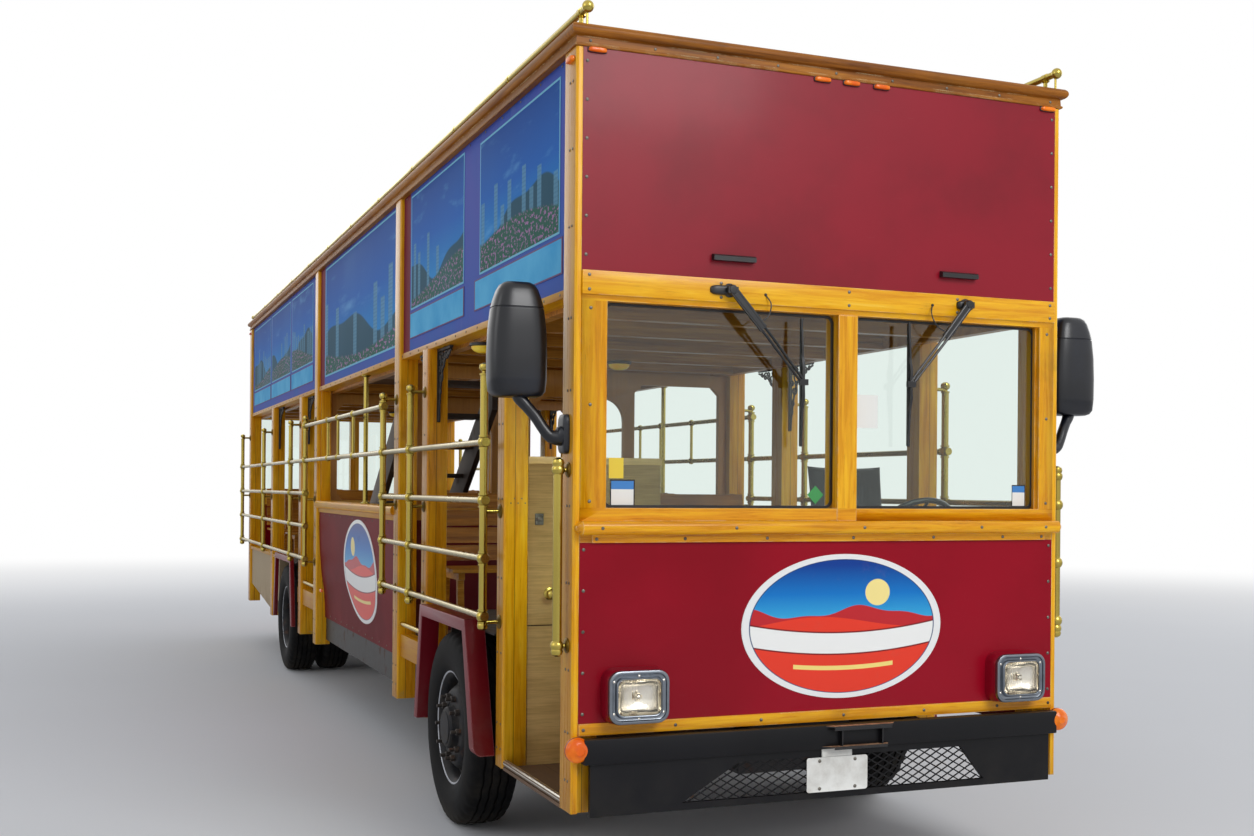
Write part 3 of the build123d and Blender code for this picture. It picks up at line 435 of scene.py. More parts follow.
class Paint(Graph):
    # one material: a Principled shader, the nodes that feed it and the colour so far
    def __init__(self, name, **constants):
        self.material = bpy.data.materials.new(name)
        self.material.use_nodes = True
        super().__init__(self.material.node_tree)
        self.shader = self.tree.nodes["Principled BSDF"]
        for socketName, value in constants.items():
            self.shader.inputs[socketName.replace("_", " ")].default_value = value

    @property
    def spot(self):
        return self.once("spot", "ShaderNodeTexCoord", output="Object")

    @property
    def xyz(self):
        return self.parts("xyz", self.spot)

    @property
    def uv(self):
        return self.parts("uv", self.once("own", "ShaderNodeUVMap", {"uv_map": "own"}))[:2]

    @property
    def normal(self):
        return self.once("normal", "ShaderNodeNewGeometry", output="Normal")

    @property
    def outward(self):
        # how far the surface faces each axis
        return self.parts("outward", self.normal)

    def vector(self, x, y, z):
        return self.add("ShaderNodeCombineXYZ", {}, {0: x, 1: y, 2: z})

    def noise(self, scale, detail=3.0, roughness=0.5, distortion=0.0, vector=None):
        return self.add("ShaderNodeTexNoise", {},
                        {"Vector": vector or self.spot, "Scale": scale, "Detail": detail,
                                                   "Roughness": roughness, "Distortion": distortion}, "Fac")

    def stretched(self, factors, detail=3.0, roughness=0.5, distortion=0.0, scale=1.0):
        # noise drawn out along the axes whose factors are small
        vector = self.vector(*(part * factor for part, factor in zip(self.xyz, factors)))
        return self.noise(scale, detail, roughness, distortion, vector)

    def ramp(self, factor, stops):
        return self.add("ShaderNodeValToRGB", {"stops": stops}, {0: factor}, "Color")

    def edges(self, radius):
        # 1 where the surface turns within the radius, 0 on flats
        soft = self.add("ShaderNodeBevel", {"samples": 3}, {"Radius": radius})
        same = self.add("ShaderNodeVectorMath", {"operation": "DOT_PRODUCT"}, {0: soft, 1: self.normal},
                        "Value")
        return (1 - same).ease(0.01, 0.16)

    def lay(self, mask, tone):
        # the tone covers the colour so far where the mask is 1
        self.color = self.mix(mask, self.color, tone)

    def blend(self, factor, other):
        # another shader takes over where the factor is 1
        body = Wire(self, self.shader.outputs[0])
        mixed = self.add("ShaderNodeMixShader", {}, {0: factor, 1: body, 2: other})
        self.feed(self.tree.nodes["Material Output"].inputs["Surface"], mixed)

    def finish(self, rough=None, metal=None, coat=None, height=None, depth=0.001, strength=1.0):
        values = {"Base Color": self.color, "Roughness": rough, "Metallic": metal, "Coat Weight": coat}
        if height is not None:
            bump = {"Strength": strength, "Distance": depth, "Height": height}
            values["Normal"] = self.add("ShaderNodeBump", {}, bump, "Normal")
        for socketName, value in values.items():
            if value is not None:
                self.feed(self.shader.inputs[socketName], value)
        return self.material


def woodFinish(name, tones, along, foot=0.0, wear=1.0, gloss=0.22, seam=0.0, coat=0.28, sideShade=0.0):
    # grain is noise stretched along the grain; along(paint) gives how far each axis is the grain's, 0 to 1;
    # sideShade paints shade on the faces that face sideways
    paint = Paint(name, Coat_Roughness=0.2, Specular_IOR_Level=0.18)
    x, z = paint.xyz[0], paint.xyz[2]
    ways = along(paint)
    shine = 1.0
    fine, wide = [46 - 43.5 * way for way in ways], [7 - 6.6 * way for way in ways]
    streak = paint.stretched(fine, 6.0, 0.62, 0.5)
    board = paint.stretched(wide, 2.0)
    pores = paint.stretched(fine, 4.0, 0.7, scale=5.0)
    grain = streak * 0.72 + board * 0.42 - 0.07
    paint.color = paint.ramp(grain, [(0.25, tones[0]), (0.44, tones[1]), (0.60, tones[2]), (0.80, tones[3])])
    paint.lay((pores - 0.62).ease(0.0, 0.12) * 0.45, (70, 38, 14))
    rub = paint.noise(9.0, 5.0, 0.65)
    worn = paint.edges(0.007) * rub.ease(0.44, 0.60) * wear
    paint.lay(worn * 0.85, (232, 208, 158))
    grime = paint.noise(2.3, 4.0, 0.6).ease(0.55, 0.8) * 0.35
    if foot:
        low = (foot - z).ease(0.0, 0.35)
        peel = paint.noise(16.0, 5.0, 0.6)
        peeled = (peel * 0.8 + low * 0.35).ease(0.60, 0.78) * low.ease(0.02, 0.5)
        paint.lay(peeled * 0.55, (184, 156, 112))
        grime = grime | (low * 0.3)
        worn = worn | (peeled * 0.7)
    paint.lay(grime, (72, 50, 26))
    # painted shade: faces turned to either side (along X) get a darker brown and lose most of their coat, for
    # the shade the sides are in
    if sideShade:
        outward = abs(paint.outward[0]).ease(0.85, 0.98)
        paint.lay(outward * sideShade * (0.6 + streak * 0.5), (122, 82, 36))
        shine = outward * -0.9 + 1.0
    if seam:
        paint.lay((0.0016 - abs(abs(x) - seam)).ease(0.0, 0.0006) * 0.85, (40, 24, 10))
    return paint.finish(rough=gloss + worn * 0.45 + streak * 0.12, coat=(worn * -0.9 + 1.0) * coat * shine,
                        height=streak * 0.7 + pores * 0.3 - worn * 0.5, depth=0.0009, strength=0.5)


goldTones = [(178, 102, 6), (226, 152, 12), (246, 184, 26), (254, 212, 82)]
brownTones = [(110, 62, 14), (166, 104, 28), (198, 134, 44), (222, 168, 78)]
oldTones = [(98, 52, 10), (148, 88, 20), (178, 114, 30), (208, 152, 64)]


def glossPaint(name, main, deep, dirt, low=0.9, rough=0.16, coat=0.6, specular=0.35, rearTone=None,
               edgeHighlight=None):
    # even gloss with faint broad fading, fine scratches and dust that gathers low down;
    # rearTone takes over behind the rear wheels, edgeHighlight lays a pale painted highlight along the edges
    paint = Paint(name, Coat_Roughness=0.12, Specular_IOR_Level=specular)
    y, z = paint.xyz[1:]
    fade = paint.noise(1.5, 4.0, 0.55)
    paint.color = paint.mix(fade.ease(0.35, 0.7), main, deep)
    if rearTone:
        paint.lay((y - frontFace) > rearAxle + 0.640, rearTone)
    # painted highlight: a pale tone along the rounded edges stands in for the sky's reflection there
    if edgeHighlight:
        paint.lay(paint.edges(0.009) * 0.7, edgeHighlight)
    scratch = paint.stretched((9, 9, 150), 3.0, 0.7).ease(0.66, 0.74)
    dust = (low - z).ease(0.0, 0.7) * paint.noise(6.0, 5.0, 0.65).ease(0.35, 0.75)
    speck = paint.noise(120.0, 2.0, 0.5).ease(0.70, 0.76) * 0.35
    worn = paint.edges(0.004) * paint.noise(14.0, 4.0, 0.6).ease(0.52, 0.64)
    paint.lay((dust * 0.55) | (speck * 0.3) | (scratch * 0.07) | (worn * 0.35), dirt)
    peel = paint.noise(55.0, 2.0, 0.5)
    return paint.finish(rough=rough + dust * 0.4 + scratch * 0.1 + worn * 0.3, coat=coat - dust * coat * 0.6,
                        height=peel + scratch * 0.3, depth=0.0004, strength=0.12)


def metalFinish(name, bright, dull, rough=0.18, grime=0.4, scale=30.0):
    # bare metal with smudges and tarnish in patches
    paint = Paint(name)
    smudge = paint.noise(scale, 5.0, 0.6)
    patch = paint.noise(scale * 0.16, 4.0, 0.6).ease(0.45, 0.75)
    paint.color = paint.mix(patch * grime + smudge * 0.12, bright, dull)
    return paint.finish(rough=rough + smudge * 0.14 + patch * grime * 0.35, metal=1.0,
                        height=smudge, depth=0.0004, strength=0.15)


def roughMetal(name, main, rust, dirt, amount=0.5, metal=0.0):
    # dusty painted or cast metal: rust in patches on the paint, dust on top faces, a cast surface
    paint = Paint(name, Metallic=metal)
    patch = paint.noise(7.0, 6.0, 0.65)
    rusty = patch.ease(0.62 - amount * 0.12, 0.72 - amount * 0.1)
    dust = (paint.outward[2].ease(0.2, 0.9) * 0.6 + 0.2) * paint.noise(18.0, 5.0, 0.6).ease(0.3, 0.8)
    paint.color = paint.mix(rusty * amount, main, rust)
    paint.lay(dust * 0.7, dirt)
    cast = paint.noise(240.0, 3.0, 0.6)
    return paint.finish(rough=0.5 + dust * 0.35 + rusty * 0.25, height=cast + patch * 0.5, depth=0.0006,
                        strength=0.35)


def plasticFinish(name, main, pale, rough=0.3, grain=300.0):
    # moulded plastic: a fine grain, paler where the sun has dried it
    paint = Paint(name)
    sun = paint.noise(3.0, 4.0, 0.6)
    worn = paint.edges(0.004) * 0.5
    paint.color = paint.mix((sun.ease(0.45, 0.8) * 0.6) | worn, main, pale)
    return paint.finish(rough=rough + sun * 0.12, height=paint.noise(grain, 2.0, 0.5), depth=0.0002,
                        strength=0.3)


def upright(paint):
    return (0.0, 0.0, 1.0)


def crosswise(paint):
    return (1.0, 0.0, 0.0)


def endGrain(paint):
    # upright between the glass's foot and head, crosswise elsewhere
    z = paint.xyz[2]
    stile = z.between(1.694, 2.551)
    return (1 - stile, 0.0, stile)


def sideGrain(paint):
    # jambs between sill and top are upright
    z = paint.xyz[2]
    stile = z.between(1.651, 2.579)
    return (0.0, 1 - stile, stile)


def ringGrain(paint):
    # the moulding's end pieces run crosswise
    y = paint.xyz[1]
    end = abs(y) > 5.655
    return (end, 1 - end, 0.0)


def glassFinish(name, tint, flutes=0.0):
    # a thin clear pane that lets shadow rays through, with upright flutes of that depth where it is a lamp's
    paint = Paint(name, Transmission_Weight=1.0, Roughness=0.0, IOR=1.45)
    smear = paint.noise(2.0, 5.0, 0.6).ease(0.6, 0.9)
    paint.color = paint.mix(smear * 0.2, tint, (236, 240, 236))
    flutePitch = 0.012
    ripple = (paint.xyz[0] * 2 * pi / flutePitch).sine() if flutes else smear
    paint.finish(height=ripple, depth=flutes or 0.0002, strength=0.5 if flutes else 0.05)
    clear = paint.add("ShaderNodeBsdfTransparent", {}, {0: tint})
    paint.blend(paint.ray("Is Shadow Ray"), clear)
    return paint.material


def deckFinish(name, main, deep):
    # worn boards with long joints, scuffs and dirt
    paint = Paint(name)
    x, y, z = paint.xyz
    boards = x / 0.145
    joint = abs(boards.fraction() - 0.5).ease(0.485, 0.497)
    streak = paint.stretched((40, 2.2, 10), 5.0, 0.6)
    tone = paint.noise(1.0, 1.0, vector=paint.vector(boards.floor() * 3.7, y * 0.3, z))
    paint.color = paint.mix(streak * 0.6 + tone * 0.4, main, deep)
    scuff = paint.noise(5.0, 6.0, 0.7).ease(0.5, 0.75)
    paint.lay(scuff * 0.5, (110, 100, 88))
    paint.lay(joint, (20, 16, 12))
    return paint.finish(rough=0.6 + scuff * 0.25, height=1 - joint + streak * 0.2, depth=0.002, strength=0.6)


def rubberFinish(name):
    # black rubber browned by dust, more on the tread, with a fine grain
    paint = Paint(name, Specular_IOR_Level=0.15)
    z = paint.xyz[2]
    dust = paint.noise(9.0, 6.0, 0.65)
    tread = 1 - abs(paint.outward[0]).ease(0.2, 0.8)
    paint.color = paint.mix(dust.ease(0.35, 0.85) * (0.3 + tread * 0.4), (11, 11, 13), (54, 50, 44))
    paint.lay((0.14 - z).ease(0.0, 0.14) * 0.25, (92, 84, 72))
    return paint.finish(rough=0.62 + dust * 0.25, height=paint.noise(160.0, 3.0, 0.6), depth=0.0006,
                        strength=0.35)


def lensFinish(name, deep, pale):
    # coloured lamp glass: a fine grain bump and a little light held inside
    paint = Paint(name, Roughness=0.2, Coat_Weight=0.25, Coat_Roughness=0.05, Specular_IOR_Level=0.25,
                  Emission_Strength=0.08)
    tone = paint.noise(14.0, 2.0, 0.5)
    paint.color = paint.mix(tone.ease(0.35, 0.7), deep, pale)
    paint.feed(paint.shader.inputs["Emission Color"], paint.color)
    flutes = paint.noise(180.0, 1.0, 0.3)
    return paint.finish(height=flutes, depth=0.0008, strength=0.4)


def fabricFinish(name, main, pale):
    # plain weave: two crossing sets of ribs
    paint = Paint(name, Sheen_Weight=0.3)
    x, y, z = paint.xyz
    weave = ((x * 2600).sine() * (z * 2600 + y * 2600).sine()) * 0.5 + 0.5
    tone = paint.noise(12.0, 4.0, 0.6)
    paint.color = paint.mix(weave * 0.3 + tone * 0.5, main, pale)
    return paint.finish(rough=0.85, height=weave, depth=0.0006, strength=0.4)


def panelBlueFinish(name):
    # printed blue-purple sheet with maroon margins beside the main posts, streaked and faded
    paint = Paint(name, Coat_Roughness=0.35, Specular_IOR_Level=0.05)
    run = paint.xyz[1] - frontFace
    margin = (run.between(3.150, 3.340) | run.between(6.330, 6.600) | run.between(3.470, 3.530)
              | run.between(6.690, 6.760))
    fade = paint.noise(1.3, 3.0, 0.5)
    paint.color = paint.mix(fade.ease(0.3, 0.7), (74, 84, 168), (52, 92, 172))
    paint.lay(margin, (112, 30, 46))
    streak = paint.stretched((8, 14, 1.2), 4.0, 0.6).ease(0.55, 0.8)
    paint.lay(streak * 0.25, (150, 160, 190))
    return paint.finish(rough=0.55 + streak * 0.3, height=paint.noise(50.0), depth=0.0003, strength=0.15)


def pictureFinish(name):
    # generic views, one per whole number of u: sky, clouds, hills, plain towers, flowers, a pale frame line
    paint = Paint(name, Coat_Roughness=0.35, Specular_IOR_Level=0.05)
    u, v = paint.uv
    number, s = u.floor(), u.fraction()
    cloud = paint.noise(1.0, 5.0, 0.55, vector=paint.vector(s * 2.6 + number * 7.3, v * 5.0, number))
    paint.color = paint.ramp(v, [(0.15, (24, 140, 206)), (0.55, (0, 96, 182)), (1.0, (0, 70, 148))])
    paint.lay(cloud.ease(0.55, 0.78) * 0.45, (120, 188, 228))
    rise = (s * 5.1 + number * 2.1).sine() * 0.12 + (s * 13.0 + number * 4.0).sine() * 0.04 + 0.34
    paint.lay((rise - v).ease(0.0, 0.02), (16, 74, 96))
    cells = s * 11.0 + number * 0.37
    tall = paint.noise(1.0, 0.0, vector=paint.vector(cells.floor() * 5.7, number * 3.1, 0.5))
    block = cells.fraction().between(0.22, 0.74) * (tall * 0.85 - v).ease(0.0, 0.012) * tall.ease(0.48, 0.5)
    windows = (v * 34.0).fraction().between(0.3, 0.7) * (cells.fraction() * 9.0).fraction().between(0.3, 0.75)
    paint.lay(block * 0.75, (96, 150, 178))
    paint.lay(block * windows * 0.5, (26, 80, 120))
    near = ((s * 3.0 + number * 1.7).sine() * 0.10 + 0.20 - v).ease(0.0, 0.03)
    bloom = paint.noise(1.0, 2.0, 0.6, vector=paint.vector(s * 46, v * 34, number))
    paint.lay(near, (24, 88, 74))
    paint.lay(near * bloom.ease(0.54, 0.60) * 0.8, (176, 120, 176))
    edge = (abs(s - 0.5) > 0.490) | (v > 0.985) | (v < 0.015)
    paint.lay(edge, (120, 186, 214))
    bright = paint.noise(0.8, 2.0, 0.5).ease(0.4, 0.8)
    paint.lay(bright * 0.1, (120, 176, 224))
    return paint.finish(rough=0.55, height=paint.noise(60.0), depth=0.0003, strength=0.1)


def labelFinish(name):
    # blank pale strip with a thin maroon line round it
    paint = Paint(name, Coat_Roughness=0.35, Specular_IOR_Level=0.05)
    u, v = paint.uv
    s = u.fraction()
    line = (abs(s - 0.5) > 0.488) | (abs(v - 0.5) > 0.455)
    tone = paint.noise(3.0, 4.0, 0.6)
    paint.color = paint.mix(tone.ease(0.3, 0.8), (96, 184, 226), (62, 156, 212))
    paint.lay(line * 0.85, (120, 60, 96))
    return paint.finish(rough=0.55 + tone * 0.1, height=tone, depth=0.0003, strength=0.1)


def badgeFinish(name):
    # oval sign: white rim, sky over red ridges, a sun and a blank curved ribbon
    paint = Paint(name, Coat_Roughness=0.05, Specular_IOR_Level=0.2)
    u, v = paint.uv
    reach = (u * u + v * v).root()
    paint.color = paint.ramp(v, [(0.05, (60, 178, 226)), (0.45, (14, 120, 200)), (0.85, (10, 62, 148))])
    sun = ((u - 0.34) * (u - 0.34) * 2.2 + (v - 0.46) * (v - 0.46)).root()
    paint.lay((0.19 - sun).ease(0.0, 0.01), (252, 232, 150))
    far = (u * 5.0 + 0.6).sine() * 0.07 + (u * 12.0).sine() * 0.025 + 0.20
    paint.lay((far - v).ease(0.0, 0.012), (196, 40, 46))
    near = (u * 3.2 + 2.4).sine() * 0.08 + 0.06
    paint.lay((near - v).ease(0.0, 0.012), (236, 62, 40))
    bow = v + 0.24 - u * u * 0.16
    paint.lay((0.165 - abs(bow)).ease(0.0, 0.01), (120, 16, 22))
    paint.lay((0.145 - abs(bow)).ease(0.0, 0.01), (244, 244, 240))
    low = v + 0.58 - u * u * 0.16
    paint.lay((0.035 - abs(low)).ease(0.0, 0.01) * (abs(u) < 0.5), (250, 224, 130))
    paint.lay((reach - 0.915).ease(0.0, 0.008), (20, 60, 110))
    paint.lay((reach - 0.925).ease(0.0, 0.008), (240, 240, 238))
    dirt = paint.noise(9.0, 5.0, 0.6).ease(0.6, 0.85)
    paint.lay(dirt * 0.2, (150, 110, 90))
    return paint.finish(rough=0.3 + dirt * 0.2, coat=0.12, height=dirt, depth=0.0003, strength=0.2)


def stickerFinish(name):
    # blank labels, one per whole number of u: yellow, white with a blue head, green, plain white
    paint = Paint(name, Roughness=0.4)
    u, v = paint.uv
    number, s = u.floor(), u.fraction()
    paint.color = paint.mix(number.between(-0.5, 0.5), (238, 238, 232), (236, 206, 60))
    paint.lay(number.between(0.5, 1.5) * (v > 0.66), (60, 130, 200))
    paint.lay(number.between(1.5, 2.5), (60, 150, 80))
    border = (abs(s - 0.5) > 0.45) | (abs(v - 0.5) > 0.45)
    paint.lay(border * number.between(0.5, 1.5), (20, 20, 22))
    worn = paint.noise(60.0, 3.0, 0.6)
    return paint.finish(rough=0.35 + worn * 0.2, height=worn, depth=0.0002, strength=0.2)


def bulkheadFinish(name):
    # maroon below the belt, varnished wood above it; the half-bulkhead by the door is bare plywood
    paint = Paint(name, Coat_Roughness=0.2)
    y, z = paint.xyz[1:]
    sill, beltTop, sheetJoint, cabEnd = 1.560, 1.652, 1.110, 1.5
    fibre = paint.stretched((60, 60, 3), 5.0, 0.6)
    lines = paint.stretched((5, 5, 130), 5.0, 0.62, 0.6)
    figure = paint.stretched((2.2, 2.2, 14), 4.0, 0.6, 0.8)
    sheet = paint.mix(lines.ease(0.3, 0.7) * 0.55 + figure.ease(0.35, 0.7) * 0.45, (246, 208, 136),
                      (206, 164, 96))
    sheet = paint.mix(abs(z - sheetJoint) < 0.003, sheet, (60, 40, 22))
    paint.color = paint.mix(fibre, (172, 106, 34), (214, 152, 62))
    paint.lay(z.between(sill, beltTop), (214, 156, 62))
    paint.lay(z < sill, paint.mix(fibre * 0.2, (112, 14, 26), (90, 12, 22)))
    paint.color = paint.mix((y - frontFace) > cabEnd, sheet, paint.color)
    stain = paint.noise(2.2, 5.0, 0.65).ease(0.5, 0.8)
    paint.lay(stain * 0.22, (96, 66, 34))
    return paint.finish(rough=0.36 + fibre * 0.15, coat=0.2, height=fibre, depth=0.0005, strength=0.3)


def stepFinish(name):
    # black paint worn to rusty metal on the top face and along the edges
    paint = Paint(name)
    wear = paint.noise(22.0, 6.0, 0.7)
    onTop = paint.outward[2].ease(0.4, 0.9) * wear.ease(0.30, 0.42)
    bare = onTop | (paint.edges(0.003) * wear.ease(0.55, 0.7))
    rusted = paint.mix(wear.ease(0.4, 0.7), (168, 126, 92), (104, 66, 42))
    paint.color = paint.mix(bare, (14, 14, 17), rusted)
    return paint.finish(rough=0.4 + bare * 0.4, height=wear - bare, depth=0.0008, strength=0.5)


def wheelFinish(name, axleRun, studs=10):
    # dusty black wheel: hand holes between the studs painted near-black as painted shade, worn silver on the
    # lip, rust round the nuts
    paint = Paint(name, Specular_IOR_Level=0.25)
    y, z = paint.xyz[1:]
    dy, dz = y - (frontFace + axleRun), z - axleHeight
    reach = (dy * dy + dz * dz).root()
    turn = dz.math("ARCTAN2", dy) * (studs / (2 * pi)) + (2 * studs + 0.5)
    hole = reach.between(0.205, 0.243) * (abs(turn.fraction() - 0.5) < 0.20)
    lip = reach.between(0.288, 0.302)
    grime = paint.noise(16.0, 5.0, 0.65)
    paint.color = paint.mix(grime.ease(0.35, 0.8), (22, 23, 28), (56, 52, 48))
    rust = paint.noise(9.0, 5.0, 0.6).ease(0.58, 0.72) * 0.45
    paint.lay(rust, (92, 56, 34))
    paint.lay(lip * grime.ease(0.25, 0.5), (176, 178, 184))
    # painted shade: the hand holes are coloured near-black for the shade seen through them, and dipped by the
    # bump
    paint.lay(hole, (6, 6, 7))
    return paint.finish(rough=0.42 + grime * 0.3, metal=lip * 0.7 + 0.15, height=grime - hole * 6, depth=0.001,
                        strength=0.5)
finishes = {
    "postWood": woodFinish("varnishedPost", goldTones, upright, foot=0.62, seam=1.165, coat=0.2, sideShade=0.5),
    "trimWood": woodFinish("weatheredMoulding", oldTones, ringGrain, wear=1.2, gloss=0.42, coat=0.06,
                           sideShade=0.6),
    "endWood": woodFinish("varnishedFrame", goldTones, endGrain),
    "sideWood": woodFinish("varnishedSill", goldTones, sideGrain, coat=0.12, sideShade=0.55, gloss=0.32),
    "beamWood": woodFinish("brownBeam", brownTones, crosswise, wear=0.6, gloss=0.35),
    "maroon": glossPaint("maroonEnamel", (142, 6, 32), (124, 4, 26), (150, 104, 96), rough=0.36, coat=0.12,
                         specular=0.24),
    "maroonLower": glossPaint("maroonFrontSheet", (152, 6, 31), (138, 4, 26), (150, 104, 96), rough=0.32,
                              coat=0.05, specular=0.14),
    "black": glossPaint("blackEnamel", (11, 11, 14), (16, 16, 20), (58, 54, 48), low=0.75, rough=0.42,
                        coat=0.05, specular=0.2),
    "maroonSide": glossPaint("maroonSideSheet", (112, 18, 26), (96, 14, 22), (126, 92, 82), rough=0.5, coat=0.0,
                             specular=0.08, rearTone=(176, 156, 124)),
    "maroonFender": glossPaint("maroonFender", (124, 14, 30), (108, 14, 26), (124, 90, 80), rough=0.34,
                               coat=0.12, specular=0.2, edgeHighlight=(190, 128, 132)),
    "glass": glassFinish("clearPane", (226, 238, 232)),
    "brass": metalFinish("polishedBrass", (188, 168, 84), (122, 102, 42), 0.16, 0.4, 8.0),
    "barBrass": metalFinish("paleBrass", (168, 156, 116), (110, 96, 62), 0.2, 0.4, 8.0),
    "dullBrass": metalFinish("dullBrass", (128, 106, 52), (70, 58, 34), 0.34, 0.5, 20.0),
    "chassis": roughMetal("chassisBlack", (30, 30, 31), (92, 52, 28), (104, 94, 80), 0.5),
    "engine": roughMetal("oilyIron", (46, 46, 48), (84, 50, 30), (88, 80, 70), 0.5, 0.3),
    "steel": roughMetal("springSteel", (70, 68, 66), (104, 58, 30), (110, 98, 84), 0.8, 0.5),
    "stair": roughMetal("stairEnamel", (58, 46, 38), (96, 60, 36), (110, 98, 84), 0.4),
    "blackPlastic": plasticFinish("blackMoulding", (20, 20, 22), (62, 62, 64), 0.28),
    "deck": deckFinish("deckBoards", (112, 82, 54), (72, 52, 36)),
    "tyre": rubberFinish("tyreRubber"),
    "mirrorBlack": plasticFinish("mirrorMoulding", (9, 11, 18), (26, 32, 46), 0.24),
    "bluePanel": panelBlueFinish("upperSideSheet"),
    "picture": pictureFinish("pictureBoard"),
    "label": labelFinish("blankLabel"),
    "badge": badgeFinish("ovalSign"),
    "sticker": stickerFinish("windowLabel"),
    "bulkhead": bulkheadFinish("bulkheadSheet"),
    "frontWheel": wheelFinish("frontWheelEnamel", frontAxle),
    "rearWheel": wheelFinish("rearWheelEnamel", rearAxle),
    "amber": lensFinish("amberLens", (228, 94, 2), (246, 130, 12)),
    "red": lensFinish("redLens", (176, 14, 16), (222, 34, 26)),
    "nuts": roughMetal("wheelNuts", (52, 48, 46), (108, 66, 40), (120, 104, 88), 0.8, 0.4),
    "iron": roughMetal("castIron", (18, 18, 20), (62, 40, 26), (70, 64, 56), 0.3),
    "dome": lensFinish("domeLens", (255, 196, 20), (255, 226, 80)),
    "step": stepFinish("bumperStepPaint"),
    "tube": metalFinish("stepTube", (206, 202, 190), (130, 122, 104), 0.24, 0.5, 40.0),
    "screw": metalFinish("screwHead", (120, 116, 108), (52, 44, 36), 0.4, 0.6, 200.0),
    "darkChrome": metalFinish("lampBezel", (128, 134, 142), (60, 62, 66), 0.22, 0.3, 60.0),
    "reflector": metalFinish("lampReflector", (246, 240, 226), (220, 190, 140), 0.10, 0.2, 30.0),
    "mirrorGlass": metalFinish("mirrorGlass", (214, 220, 226), (190, 196, 204), 0.03, 0.1, 8.0),
    "lampGlass": glassFinish("flutedLens", (244, 246, 248), 0.0012),
    "fabric": fabricFinish("seatCloth", (28, 28, 32), (60, 60, 66)),
    "seatWood": woodFinish("seatSlats", brownTones, crosswise, wear=0.8, gloss=0.3),
    "plate": glossPaint("plateEnamel", (236, 236, 230), (228, 228, 222), (150, 140, 124), low=1.2, rough=0.3),
}
print("finishes made:", len(finishes))

nodeFinish = {
    "posts": "postWood", "side_woodwork": "sideWood", "end_woodwork": "endWood", "top_moulding": "trimWood",
    "deck_beams": "beamWood", "upper_side_panels": "bluePanel", "upper_end_panels": "maroon",
    "lower_end_panels": "maroonLower", "lower_side_panels": "maroonSide", "fenders": "maroon",
    "headlamps": "maroon",
    "bumpers": "black", "front_valance": "black", "scroll_brackets": "black", "number_plate": "plate",
    "glazing": "glass", "lamps": "blackPlastic", "wipers_and_vents": "blackPlastic", "mirrors": "blackPlastic",
    "dashboard": "blackPlastic", "deck_handrails": "brass", "side_rails": "brass", "wheel_housings": "chassis",
    "chassis_frame": "chassis", "lower_deck_floor": "deck", "upper_deck_floor": "deck", "bulkheads": "bulkhead",
    "staircase": "stair", "lower_benches": "seatWood", "upper_seats": "seatWood", "driver_seat": "fabric",
    "engine_block": "engine", "front_axle": "engine", "rear_axle": "engine", "leaf_springs": "steel",
}
for side in ("_left", "_right"):
    nodeFinish.update({"knuckle" + side: "engine", "front_tyre" + side: "tyre", "rear_tyres" + side: "tyre",
                       "front_rim" + side: "frontWheel", "rear_rim" + side: "rearWheel"})
for nodeName, node in nodes.items():
    node.data.materials.clear()
    node.data.materials.append(finishes[nodeFinish[nodeName]])
print("frame nodes dressed")

# side rails: brass poles with finials, balls at the crossings, pale bars between them
rails = {
    "x": 1.305, "poleRadius": 0.0195, "barRadius": 0.016, "ballRadius": 0.031, "foot": 1.088, "head": 2.372,
    "runs": (1.050, 2.630, 3.405, 6.620, 7.490, 9.430, 11.380), "standoffs": (1.128, 1.660, 2.330),
    "bars": {1.156: (0, 1, 3, 4, 5), 1.434: (0, 1, 3, 4, 5), 1.712: (0, 1, 3, 4, 5), 1.991: range(6),
             2.285: (2,)},
    "balusters": (4.430, 5.040, 5.480), "balusterSpan": (1.991, 2.285),
    "lowBarX": 1.190, "lowBarZ": 0.905, "lowBars": ((2.700, 3.330), (6.695, 7.415)),
}
frontPole = {"x": 1.265, "run": 0.060, "foot": 1.075, "head": 1.900, "standoffs": (1.120, 1.850),
             "bars": (1.157, 1.435, 1.713)}
sillPole = {"x": 1.170, "run": 4.670, "radius": 0.017, "foot": 1.650, "head": 2.580, "disc": 0.034,
            "thick": 0.014}


def poleWithFinials(x, run, foot, head, radius):
    # neck, collar and ball turned at both ends of a straight pole
    r = radius
    tip = [(0, 0), (0.5 * r, 0.001), (1.15 * r, 0.009), (1.35 * r, 0.022), (1.15 * r, 0.035), (0.6 * r, 0.043),
           (0.62 * r, 0.048), (1.2 * r, 0.052), (1.2 * r, 0.060), (r, 0.062)]
    length = head - foot
    profile = tip + [(radiusHere, length - along) for radiusHere, along in reversed(tip)]
    return lathe(profile, at(x, run, foot), (0, 0, 1), 20)


def crossing(x, run, z, radius):
    # a ball fitting with short collars on the bar, fore and aft
    reach, collar, poleCollar = radius + 0.006, 0.0215, 0.0245
    collars = [rod(at(x, run, z + lift - 0.004), at(x, run, z + lift + 0.004), poleCollar, 16)
               for lift in (-0.030, 0.030)]
    sleeve = rod(at(x, run - reach, z), at(x, run + reach, z), collar, 14)
    return [ball(at(x, run, z), radius), sleeve] + collars


def railBase(run, z, radius):
    # a stepped disc on the post's face
    profile = [(0, 0), (radius, 0), (radius, 0.004), (radius - 0.008, 0.009), (0.014, 0.012), (0, 0.012)]
    return lathe(profile, at(postFace + 0.0002, run, z), (1, 0, 0), 20)


def standoff(x, run, z):
    # the short arm from a post to its pole
    return rod(at(postFace + 0.002, run, z), at(x, run, z), 0.010, 12)


